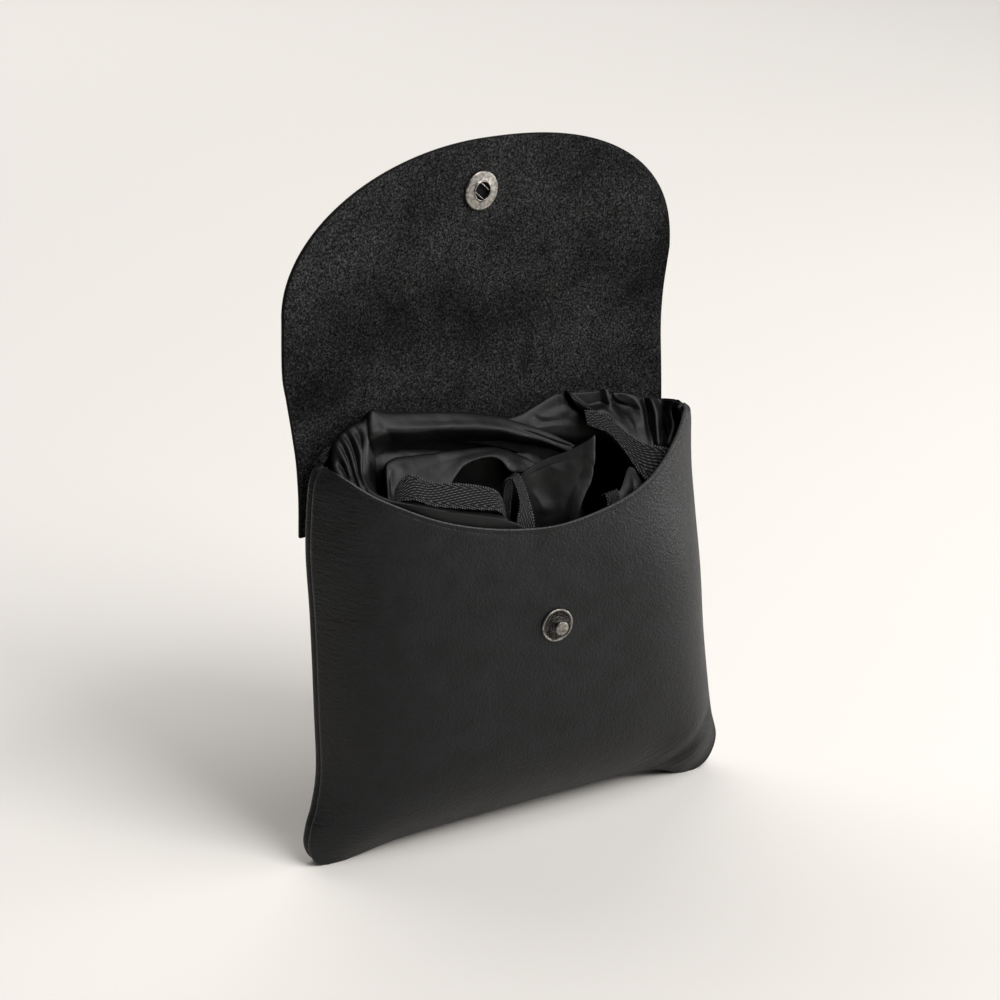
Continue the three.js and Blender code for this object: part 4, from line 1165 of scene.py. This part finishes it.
def hanging(tuck, lip, rim, crown, wall):
    x, _, z = crown
    foot_y = min(max(wall, cup["front_foot"]), cup["back_foot"])
    wall_places = [[x, wall, z - cup["wall_drop"]], [x, wall, cup["waist"]]]
    return [tuck, lip, rim, crown, *wall_places, [cup["narrowing"] * x, foot_y, cup["foot"]]]


# %% [markdown]
# ## Creases
# Thin nylon that is pushed together does two things. Where it folds over itself, one side of the crease
# lies on top of the other and fades back into the sheet: that is a lap. Where it is only pinched, it
# stands up in a sharp ridge or sinks into a valley. Each lap and ridge is given by the line it follows,
# seen from the front, and by how high and how wide it is. Drawing them one by one puts the big creases
# where the cloth is really gathered, and a little noise gives the small ones in between.


# %% Laps and ridges in cloth
def beside(flat, places, reach):
    """Which points lie near a smooth line, how far off, on which side, and how far along it."""
    line = through(np.array(places, float), np.linspace(0, 1, 8 * len(places)))
    inside = (flat > line.min(axis=0) - reach) & (flat < line.max(axis=0) + reach)
    near = np.flatnonzero(np.all(inside, axis=1))
    gap = flat[near, None] - line[None]
    nearest = np.linalg.norm(gap, axis=2).argmin(axis=1)
    away = gap[np.arange(len(near)), nearest]
    along = np.gradient(line, axis=0)[nearest]
    along /= np.linalg.norm(along, axis=1, keepdims=True)
    side = along[:, 0] * away[:, 1] - along[:, 1] * away[:, 0]
    return near, np.linalg.norm(away, axis=1), side, nearest / (len(line) - 1)


def creased(grid, normals, laps, ridges, only=1.0):
    """Moves a grid along its normals. Each lap and ridge is (places as x and z, height, breadth)."""
    flat = grid[..., [0, 2]].reshape(-1, 2)
    lift = np.zeros(len(flat))
    for places, height, breadth in laps:
        near, apart, side, share = beside(flat, places, 4 * breadth)
        upper = 0.5 + 0.5 * np.tanh(side / 0.3)
        fade = smooth(np.minimum(share, 1 - share) * 4 + 0.1)
        over, under = np.exp(-apart / breadth), np.exp(-apart / (0.6 * breadth))
        lift[near] += height * fade * (upper * over - 0.35 * (1 - upper) * under)
    for places, height, breadth in ridges:
        near, apart, side, share = beside(flat, places, 4 * breadth)
        fade = smooth(np.minimum(share, 1 - share) * 2.6 + 0.15)
        lift[near] += height * fade * np.exp(-(np.sqrt(apart**2 + 0.06) - 0.25) / breadth)
    return grid + normals * (lift.reshape(grid.shape[:2]) * only)[..., None]


# %% The cup as a closed ring of cloth
CUP_AROUND, CUP_DOWN, CUP_LEAN = 370, 110, 1.8  # the rows crowd towards the lip
cup_down = np.linspace(0, 1, CUP_DOWN + 1) ** CUP_LEAN
cup_around = np.linspace(0, 1, CUP_AROUND + 1)
cup_grid = loft([hanging(*row) for row in liner_rows], cup_around, cup_down, looped=True)
cup_middle = np.array([cup["centre"], cup["centre"], cup["foot"]])
cup_floor = np.broadcast_to(cup_middle, cup_grid[:, :1].shape)
cup_grid = np.concatenate([cup_grid, blend(cup_grid[:, -1:], cup_floor, 0.5), cup_floor], axis=1)
print("cup: %d lines of %d points" % cup_grid.shape[:2])


def ring_normals(grid):
    normals = grid_normals(grid[:-1], looped=True)
    normals = np.concatenate([normals, normals[:1]])
    normals[:, -1] = (0, 0, -1)
    return normals


cup_laps = [
    ([(34, 144.6), (26, 146.6), (20, 147.2), (14, 147)], 0.9, 2.0),
    ([(14, 151.6), (20, 149), (27, 149.4), (33, 152)], 0.6, 2.0),
]
cup_ridges = [
    ([(-60.8, 159.4), (-59.8, 156), (-59.6, 152), (-60.8, 147.5), (-61.6, 142)], 1.0, 0.8),
    ([(-63.9, 158), (-63.2, 154.6), (-63, 150.6), (-63.4, 146), (-63.8, 141)], 1.0, 0.7),
    ([(-66.6, 156), (-65.8, 152.6), (-65.4, 149), (-65.6, 145), (-65.6, 142)], 1.0, 0.7),
    ([(-58.8, 160), (-57.6, 156.4), (-57.6, 152.6), (-59.4, 148), (-60.6, 143)], -2.0, 1.1),
    ([(-62.4, 158.6), (-61.6, 155.4), (-61.6, 151.6), (-62, 147), (-62.6, 141)], -1.9, 0.8),
    ([(-65.2, 157), (-64.6, 153.6), (-64.4, 149.6), (-64.8, 145), (-64.8, 141)], -1.7, 0.8),
    ([(-67.8, 151.4), (-66.8, 148.6), (-66.4, 144.6)], -2.0, 1.0),
    ([(13, 148.6), (19, 151.4), (27, 152.8), (34, 151)], -1.0, 2.4),
]

# %% Crease the cup and make it a piece
upper_part = smooth((cup_grid[..., 2] - cup["creased_from"]) / cup["creased_over"])
cup_grid = creased(cup_grid, ring_normals(cup_grid), cup_laps, cup_ridges, upper_part)
pucker = 0.25 * field(cup_grid, 9.0, 1.0, 2) + 0.06 * field(cup_grid, 3.2, 2.0)
pucker[-1] = pucker[0]
cup_grid = cup_grid + ring_normals(cup_grid) * (pucker * upper_part)[..., None]
half_skin = ring_normals(cup_grid) * nylon["ply"] / 2
outer, inner = cup_grid + half_skin, cup_grid - half_skin
cup_flat = flat_map(cup_grid)
cup_edge = cut_edge(outer[:, 0], inner[:, 0])
# the inner skin takes the dull nylon, partly painted shade
cup_parts = [(outer, False, 0, cup_flat), (inner, True, 1, cup_flat), (cup_edge, False, 0, None)]
cup_piece = make_piece("shopper_cup", cup_parts, [NYLON, DULL_SHADED_NYLON])
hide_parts("shopper_liner")

# %% [markdown]
# ## Loose layers of the shopper
# Inside the cup lie parts of the same cloth that come up out of the bundle: a band across the back, the
# layer in front of it, the gathered cloth on the right, a layer folded over in the left half, a panel
# that stands up in the middle, a hem and a corner. A simulated cloth would settle into folds of its own
# choosing, so each layer is a sheet drawn through a table: one row for each fold, from its top edge down
# to where it disappears between the others.


# %% Make a sheet, and make a layer of the shopper
def evenly(count):
    return np.linspace(0, 1, count + 1)


def cloth_piece(name, grid, look, slot_name, thick, replaced, flat_places, **declared):
    """A sheet of the given thickness; flat_places are its flat coordinates, in millimetres.

    The named settings passed in, such as the flat size, are not used. The flat size was read off this
    sheet, so it says how big the sheet is and not how the real shopper was cut.
    """
    normals = grid_normals(grid)
    near, far = grid + normals * thick / 2, grid - normals * thick / 2
    piece = make_piece(name, sheet_parts(near, far, (0, 0), 0, flat_places), [look])
    if replaced:
        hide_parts(replaced)
    print("%s lies %.0f by %.0f mm" % (name, *flat_map(grid)[-1, -1]))


def nylon_layer(name, rows, counts, laps, ridges, crinkle, flat, replaced=None):
    """crinkle is the seed, the depth and the size of the small folds; flat, the cut size in metres, is not
    used.
    """
    grid = loft(rows, evenly(counts[0]), evenly(counts[1]))
    grid = creased(grid, grid_normals(grid), laps, ridges)
    seed, depth, size = crinkle
    grid = grid + grid_normals(grid) * (depth * field(grid, size, seed, 2))[..., None]
    cloth_piece(
        name, grid, NYLON, "nylon", nylon["ply"], replaced, flat_map(grid),
        flat=flat, rests_on=["shopper_cup"],
    )


# %% The band across the back: its top edge, its face, its underside and where it turns away
band_rows = [
    ([-53.4, 10, 161], [-55.2, 7.6, 157.5], [-55.6, 6, 154], [-54, 8, 149]),
    ([-51.4, 8.2, 163.8], [-53.4, 5, 160], [-54, 3, 156.5], [-52.6, 6, 150]),
    ([-46, 8.2, 162.4], [-47.5, 5, 160.2], [-48.2, 3, 157.2], [-46.5, 8, 149.5]),
    ([-36.5, 8, 161], [-38, 5, 158.9], [-38.6, 3, 156.3], [-37, 9, 148]),
    ([-24.8, 8, 159.5], [-26.3, 5, 157.4], [-27, 3, 155.2], [-25.5, 10, 147]),
    ([-12.9, 8, 157.3], [-14.5, 5, 155.6], [-15, 3.2, 153.4], [-13.1, 11, 145.3]),
    ([-1.2, 7.6, 154], [-2.4, 5.2, 152.7], [-3.3, 3.6, 150.8], [-0.9, 11, 143]),
    ([6.7, 7, 150.8], [5.3, 5.2, 149.7], [4.2, 4, 147.6], [6, 11, 141]),
    ([12.5, 6.4, 148.2], [11.2, 5.2, 147.2], [10.2, 4.4, 145.2], [11.8, 11, 139.5]),
    ([17.6, 6, 145.7], [16.3, 5, 144.8], [15.6, 4.5, 143], [17.5, 10, 137.8]),
    ([22.5, 5.4, 142.8], [21.2, 4.8, 142], [20.6, 4.5, 140.4], [23, 9, 135.8]),
    ([28, 4.4, 139.6], [26.4, 4, 138.8], [26, 4, 137.4], [28.5, 8, 133.3]),
]


def draped(top, face, low, foot):
    x, y, z = top
    behind_top = [[x, y + 2.4, z - 12], [x, y + 2, z - 2.4]]
    return [*behind_top, top, face, low, foot, [foot[0], foot[1] + 2, foot[2] - 14]]

band_laps = [([(30, 138.8), (22.4, 141.6), (16.4, 144.5), (10, 147.6), (2, 151)], 0.5, 1.6)]
band_ridges = [
    ([(-50, 161), (-46, 155), (-44, 151)], 0.4, 1.6),
    ([(-22, 158), (-28, 155), (-32, 151)], 0.3, 4.0),
]
nylon_layer(
    "shopper_band", [draped(*row) for row in band_rows], (220, 90), band_laps, band_ridges,
    (8.0, 0.2, 9.0), (0.1, 0.035),
)

# %% The layer in front of the band: its top and its face
core_rows = [
    ([-53.4, 8, 144], [-54, 5, 139]),
    ([-52.4, 7, 147], [-53, 4, 142]),
    ([-47.3, 8, 148.4], [-48.5, 5, 144.4]),
    ([-41.5, 8, 148.4], [-42.6, 5, 145]),
    ([-33.7, 8.4, 147.2], [-35.4, 5, 144]),
    ([-25.9, 9, 145.2], [-27.1, 6, 142]),
    ([-13.5, 9.6, 141.6], [-14.7, 6, 139]),
    ([-1, 9.6, 140.4], [-3, 5.6, 137.6]),
    ([9.3, 9, 139.4], [7, 5, 135.6]),
    ([17.6, 9, 134.8], [15.4, 5, 130.3]),
    ([24.7, 9, 125.8], [22.5, 5, 121.3]),
    ([34.6, 9, 112], [32.3, 5, 106]),
]


def bedded(top, face):
    x, y, z = top
    return [[x, y + 3, z - 26], [x, y + 2.6, z - 4], top, face, [face[0], face[1] + 2, face[2] - 22]]

core_ridges = [
    ([(-50, 149), (-38, 148.4), (-26, 146)], 0.6, 1.4), ([(-20, 146), (0, 141), (12, 137)], 0.8, 2.4),
    ([(2, 142), (6, 140), (9, 136)], 1.0, 2.0),
]
nylon_layer(
    "shopper_core", [bedded(*row) for row in core_rows], (130, 60), [], core_ridges,
    (9.0, 0.5, 8.0), (0.11, 0.055),
)

# %% The gathered cloth on the right: its top edge, its bend, its middle, its lower edge and its foot
ruffle_rows = [
    ([29.8, 14.6, 157.4], [29.7, 13, 157.2], [29.9, 12, 156.6], [30.6, 11, 155], [32, 11, 152.6]),
    ([33.4, 14, 156.3], [33.5, 12.8, 154.7], [33.6, 10, 153.8], [35.2, 9, 151.9], [36.4, 9.6, 149.2]),
    ([39.5, 13.6, 155.7], [38.8, 12.4, 151.3], [38.7, 8.5, 150.8], [40.2, 7.5, 149.2], [41.2, 8, 146.6]),
    ([43.4, 13.4, 155.6], [43.4, 12.2, 151.4], [43, 8, 149.9], [44, 6.5, 147], [44.6, 7, 143.6]),
    ([45.2, 12, 156.4], [45.8, 9.4, 151.6], [45.8, 7.4, 148.4], [46.2, 4.5, 143.8], [46.8, 5, 140.6]),
    ([48.4, 13.6, 153.6], [50.7, 12.6, 149.3], [49.7, 6.4, 145.8], [49.3, 1, 139.4], [49.6, 1.4, 136.4]),
    ([52.3, 12.2, 153.7], [55, 10.6, 148.7], [53.6, 5.2, 143.9], [52.4, -1, 137.2], [52.6, -1, 134]),
    ([57.6, 11.6, 152.4], [58.1, 7.6, 147.9], [57, 3.6, 142.9], [55.2, -2, 136.3], [55.4, -2, 133]),
    ([61.2, 11.4, 150.8], [61, 9, 146.8], [59.4, 4.8, 141.8], [58, -1.6, 137], [58.2, -2, 133]),
    ([62.4, 8.6, 151.2], [62, 4.6, 147.4], [60.6, 0.8, 142.2], [58.8, -3, 137.4], [59, -3.2, 134]),
    ([65.4, 8.8, 150.4], [65, 5.4, 147], [62.8, 1.6, 141.8], [59.6, -3, 137.6], [59.8, -3.4, 134]),
    ([67.2, 9.6, 150], [67, 7, 146.2], [64.6, 2.6, 141.2], [60.6, -2.6, 137], [60.8, -3.6, 134]),
    ([68.4, 7.4, 150.8], [68.2, 3.6, 147.4], [66.4, -1, 142.6], [62, -4.6, 137.4], [62, -5, 134]),
    ([70.2, 7, 150.4], [70, 4.2, 146.8], [68.4, -1, 141.6], [64.4, -5.2, 137], [63.8, -6, 134]),
]


def gathered(top, bend, middle, edge, foot):
    x, y, z = top
    return [[x, y + 1.4, z - 9], [x, y + 1.2, z - 1.6], top, bend, middle, edge, foot]


ruffle_ridges = [
    ([(30, 157.4), (33.6, 154.8), (38, 151.6), (42, 151.8)], 0.6, 0.8),
    ([(45, 156.4), (47, 153), (50.4, 150)], 0.9, 0.8), ([(48, 155), (50.4, 152.4), (54.6, 149.6)], -0.9, 0.9),
    ([(42, 152), (48, 150.6), (54, 149), (61, 146.6)], 0.5, 0.9),
    ([(51, 147), (52, 144.4), (52.6, 142)], -0.4, 1.6),
]
nylon_layer(
    "shopper_ruffle", [gathered(*row) for row in ruffle_rows], (220, 110), [], ruffle_ridges,
    (10.0, 0.15, 6.0), (0.045, 0.032),
)

# %% The layer folded over in the left half: top, face and lip of each fold
inner_fold_rows = [
    ([-50.5, 0.5, 143], [-52, -3, 138], [-53, -8, 131]),
    ([-51.4, -2.4, 147.2], [-53.5, -8, 142.5], [-55.5, -13, 137]),
    ([-48.6, -1.6, 148.6], [-50.6, -7.4, 143], [-52.6, -13, 136]),
    ([-40, -0.5, 148.3], [-41, -6.5, 142.5], [-42.5, -12.5, 134]),
    ([-32.5, 0.5, 147.6], [-33.5, -5.5, 142.5], [-35.5, -12, 133.5]),
    ([-26.5, 1, 147.3], [-27.8, -4.5, 143.2], [-31.5, -9.5, 136.5]),
    ([-20.5, 1.2, 146.9], [-21.5, -2.5, 145.4], [-22.8, -5, 143]),
    ([-14, 0.8, 146.5], [-14.7, -2, 145.6], [-15.4, -3.8, 144.4]),
    ([-7.4, 0, 145.7], [-8.6, -3, 145.2], [-10, -4.4, 144.2]),
    ([-4.4, 0, 144.7], [-5.8, -3.6, 144], [-7.2, -5.2, 142.3]),
    ([-1.2, 0.2, 143.3], [-3.3, -3.6, 141.8], [-5, -5.6, 139.2]),
    ([3.2, 0.6, 140.9], [0.7, -3.2, 139.6], [-2, -5.4, 137.4]),
    ([7.6, 1, 138.2], [5, -1.6, 137.4], [2.8, -3.6, 136]),
    ([12.2, 2, 135.2], [10, 0, 134], [7.4, -2.4, 132.6]),
]


def standing(top, face, lip):
    foot = [cup["narrowing"] * top[0], fold_foot["y"], fold_foot["z"]]
    turned_in = [lip[0] + 0.3, lip[1] + 1.5, lip[2] - 0.5]
    return [foot, [top[0], fold_foot["back_y"], fold_foot["back_z"]], top, face, lip, turned_in]


fold_ridges = [
    ([(-49.6, 148), (-51.6, 143), (-54, 138)], 0.7, 1.2),
    ([(-46, 147.6), (-46.4, 143), (-49, 138)], -0.5, 2.2),
    ([(-52, 141), (-43, 143.5), (-34, 145), (-22, 145.6), (-10, 145)], 0.4, 1.6),
    ([(-40, 138), (-33, 141.5), (-26, 144)], 0.5, 2.5),
]
nylon_layer(
    "shopper_fold", [standing(*row) for row in inner_fold_rows], (170, 110), [], fold_ridges,
    (4.0, 0.2, 7.0), (0.075, 0.14), "shopper_inner_fold",
)

# %% The panel that stands up in the middle: its top edge, middle and foot
centre_panel_rows = [
    ([-2.5, -7, 136], [-0.5, -8, 129], [1.4, -10.4, 120]),
    ([-0.2, -7.6, 137.8], [1.8, -8.4, 129.4], [4, -10.8, 120]),
    ([7.8, -7.6, 140.9], [8.2, -9.2, 130.3], [8.3, -12, 120]),
    ([15.7, -9, 143.1], [14.1, -11.2, 132.3], [12.5, -14, 120.6]),
    ([22, -10.4, 145.7], [19.7, -12.8, 133.9], [15.2, -16, 121.6]),
    ([26.9, -11, 148.4], [24.9, -13.6, 134.1], [17.9, -16.6, 122.7]),
    ([27.2, -8.4, 147.6], [25.1, -10.6, 133.5], [19.4, -14.8, 121.8]),
]


def footed(top, middle, low):
    return [top, middle, low, [panel_foot["spread"] * low[0], panel_foot["y"], panel_foot["z"]]]


centre_laps = [
    ([(23, 142), (17, 141), (12, 139.8), (7, 138.4), (1, 136.4)], 0.6, 1.4),
    ([(29, 131), (27.4, 135), (24.6, 139.2), (19.6, 142.2)], 0.35, 1.2),
]
centre_ridges = [
    ([(24, 141), (19.6, 134), (15.4, 128), (12, 121)], 0.9, 4.5),
    ([(2, 132), (5, 127), (7, 121)], -0.7, 3.0),
    ([(9, 139), (16, 136), (22, 137.4)], -0.3, 1.6),
]
nylon_layer(
    "shopper_panel", [footed(*row) for row in centre_panel_rows], (130, 100), centre_laps, centre_ridges,
    (5.0, 0.2, 7.0), (0.025, 0.085), "shopper_centre_panel",
)

# %% The hem below the left tape
hem_rows = [
    ([-54.5, -11, 138], [-55.5, -15, 137], [-55.5, -17, 132], [-55, -16, 122]),
    ([-46, -13, 137], [-46.5, -17.2, 135.6], [-46.5, -18, 131], [-46, -17, 120]),
    ([-38, -13.5, 134.5], [-38.5, -17.8, 132.6], [-38.5, -18.6, 128], [-38, -17.5, 117]),
    ([-30, -13.5, 132], [-30, -18, 129.8], [-30, -18.8, 125.4], [-30, -17.5, 114]),
    ([-21, -13.5, 129.6], [-21, -18, 127.4], [-21, -18.8, 123], [-21, -17.5, 111]),
    ([-12, -13.5, 127.8], [-12, -17.8, 125.4], [-12, -18.6, 121], [-12, -17.5, 109]),
]
hem_ridges = [([(-50, 134), (-40, 131), (-28, 127), (-14, 123)], 0.3, 1.4)]
nylon_layer("shopper_hem", hem_rows, (110, 40), [], hem_ridges, (6.0, 0.3, 5.0), (0.047, 0.023))

# %% A corner of cloth on the right
corner_rows = [
    ([32, -12, 121], [32.5, -14, 118.5], [33, -15, 110]),
    ([38, -11, 126], [38.2, -13.4, 121.5], [38, -15, 110]),
    ([44.8, -6.2, 132], [43.4, -11.4, 124.5], [42.5, -15, 110]),
    ([48.6, -7.6, 129], [47.2, -12, 122.6], [46.5, -14.6, 110]),
    ([51.4, -9, 124], [50.6, -12.4, 119], [50, -14, 110]),
]
corner_ridges = [([(41, 118), (43.6, 124), (44.6, 130)], 0.5, 1.6)]
nylon_layer("shopper_corner", corner_rows, (60, 40), [], corner_ridges, (7.0, 0.25, 7.0), (0.022, 0.018))

# %% [markdown]
# ## The tape handles
# The handles are flat herringbone tape. Only stretches of them show, between the places where they
# dive among the folds, so each stretch is a strip between two edge lines. The strips are 6 to 10 mm wide.
# The real tape is probably wider, with the rest folded under or hidden in the bundle, and that part
# isn't made. The flat area given for a strip is its own, not the real tape's.

# %% Both edges of each stretch of tape
tape_rows = {
    "handle_tape_left": [
        ([-52, -9, 122], [-54, -11.6, 118]),
        ([-52, -10, 138], [-54, -12.6, 136]),
        ([-45.6, -8.4, 144.8], [-47.2, -14.8, 137.6]),
        ([-38.6, -10, 141.5], [-40.6, -16, 134.8]),
        ([-29.2, -10.4, 139.4], [-30.6, -16.2, 132.2]),
        ([-20.2, -11, 137.2], [-21.8, -16.4, 130.2]),
        ([-13.2, -12, 134], [-14.6, -16.6, 128.2]),
        ([-10.5, -13, 126], [-11.6, -16.6, 122]),
        ([-10.5, -12, 110], [-11.5, -15.5, 106]),
    ],
    "handle_tape_loop": [
        ([-9.6, -6.5, 112], [-6, -7, 112]),
        ([-9, -8, 128], [-5.4, -8.4, 130]),
        ([-8.4, -10, 136.6], [-5, -9.8, 138.4]),
        ([-7.2, -11.4, 137.6], [-4, -11, 138.6]),
        ([-6, -13, 134.4], [-2.6, -12.6, 134.6]),
        ([-6.2, -15.6, 129.2], [-1.8, -14.6, 129.6]),
        ([-8.4, -17.6, 124], [-1.4, -17.4, 123]),
        ([-8.4, -17.8, 112], [-1.4, -17.6, 112]),
    ],
    "handle_tape_right": [
        ([34, 8.6, 151], [34.2, 6.4, 146]),
        ([38.6, 8, 150], [37.4, 4.4, 144.6]),
        ([43, 6.4, 147.6], [40.6, 2.4, 143]),
        ([48.4, 2, 141.8], [43.4, -1, 139]),
        ([53.6, -1.4, 138], [46, -4.6, 133.8]),
        ([57.6, -4.2, 137.2], [47.4, -8, 130]),
        ([62.6, -6.8, 135.2], [49.8, -11.8, 125.4]),
        ([62, -8, 122], [50, -11.4, 114]),
    ],
    "handle_tape_end": [
        ([30, -10.5, 108], [35.4, -10.5, 108]),
        ([29.6, -12, 124], [35, -12, 125]),
        ([29.2, -15, 126.4], [34.6, -14.8, 127.2]),
        ([29.4, -16.4, 122], [34.8, -16, 122.4]),
        ([29.6, -16, 106], [35, -15.6, 106]),
    ],
}

# %% Build the tapes
TAPE_ALONG, TAPE_DOWN = 400, 16
# the narrowest flat size that a sheet may have, in metres
LEAST_WIDTH = 0.01  # a flat width of 10 mm given with each strip, in metres
# the length of each strip and its mean width, in metres
tape_flats = dict(left=(0.08, 0.0078), loop=(0.058, 0.0056), right=(0.053, 0.0096), end=(0.042, 0.0065))


def scalloped(grid, along, share):
    """Both edges stand out and in a little, where the weft turns back round the outermost thread."""
    outwards = grid[:, -1:] - grid[:, :1]
    outwards = outwards / np.linalg.norm(outwards, axis=-1, keepdims=True)
    at_edges = smooth(8 * share - 7) - smooth(1 - 8 * share)
    loops = tape["scallop"] * np.sin(2 * np.pi * along / weave["loop"]) * at_edges
    return grid + outwards * loops[..., None]


for node, rows in tape_rows.items():
    grid = loft(rows, evenly(TAPE_ALONG), evenly(TAPE_DOWN))
    along = flat_map(grid)[..., 0]
    share = np.broadcast_to(evenly(TAPE_DOWN), along.shape)
    stretch = node.split("_")[-1]
    length, shown = tape_flats[stretch]
    cloth_piece(
        "shopper_tape_" + stretch, scalloped(grid, along, share), TAPE, "tape", tape["thick"], node,
        np.stack([along, share * weave["across"]], axis=-1), flat=(LEAST_WIDTH, length),
        rests_on=["shopper_fold"] if stretch == "left" else ["shopper_cup"], area=length * shown,
    )

# %% [markdown]
# ## The table and the light
# A plain pale table carries the pouch, as in a small product studio. One large soft light stands high in
# front and to the right and throws the shadow to the left. A low one at the right side draws the sheen
# along the leather. A weak one from above opens up the cloth, and a wide one keeps the far end of the
# table as bright as the near end.

# %% Floor
TABLE = dict(middle=(0, 2.2, 0), across=7.0, colour=(0.9, 0.86, 0.81))
bpy.ops.object.select_all(action="DESELECT")
bpy.ops.mesh.primitive_plane_add(size=1.0, location=TABLE["middle"])
table = bpy.context.object
table.scale = (TABLE["across"], TABLE["across"], 1)
bpy.ops.object.transform_apply(location=True, rotation=True, scale=True)
table.name = "table"
table.data.materials.append(new_finish("pale_table", TABLE["colour"], 0.9)[0])


# %% Lights
def area_light(name, place, aim, size, power):
    lamp = bpy.data.lights.new(name, "AREA")
    lamp.shape = "RECTANGLE"
    lamp.size, lamp.size_y = size
    lamp.energy = power
    holder = bpy.data.objects.new(name, lamp)
    bpy.context.collection.objects.link(holder)
    holder.location = place
    holder.rotation_euler = (Vector(aim) - Vector(place)).to_track_quat("-Z", "Y").to_euler()
    print("light %s: %.0f W" % (name, power))


area_light("key", (1.1, -2.2, 2.3), (0, 0, 0.08), (1.8, 1.8), 73)
area_light("side", (1.9, -0.72, 0.32), (0, 0, 0.08), (1.1, 0.5), 24)
area_light("top", (0.3, -0.6, 1.7), (0, 0, 0.15), (0.9, 0.9), 10)
area_light("backdrop", (-0.2, 2.8, 2.6), (-0.3, 2.3, 0), (6.0, 2.4), 108)
bpy.context.scene.view_settings.view_transform = "Standard"

# %% Camera
view = dict(lens=79.35, sensor=36.0, turn=math.radians(28.5), tilt=math.radians(20.0), away=784.2)
view_middle = Vector((-5.3, 0.0, 125.9))
camera_data = bpy.data.cameras.new("camera")
camera_data.lens = view["lens"]
camera_data.sensor_width = view["sensor"]
camera = bpy.data.objects.new("camera", camera_data)
bpy.context.collection.objects.link(camera)
level = math.cos(view["tilt"])
looking = Vector((math.sin(view["turn"]) * level, math.cos(view["turn"]) * level, -math.sin(view["tilt"])))
camera.location = (view_middle + Vector(ORIGIN)) * MM - looking * view["away"] * MM
camera.rotation_euler = looking.to_track_quat("-Z", "Y").to_euler()
bpy.context.scene.camera = camera
print("camera at", [round(value, 4) for value in camera.location])
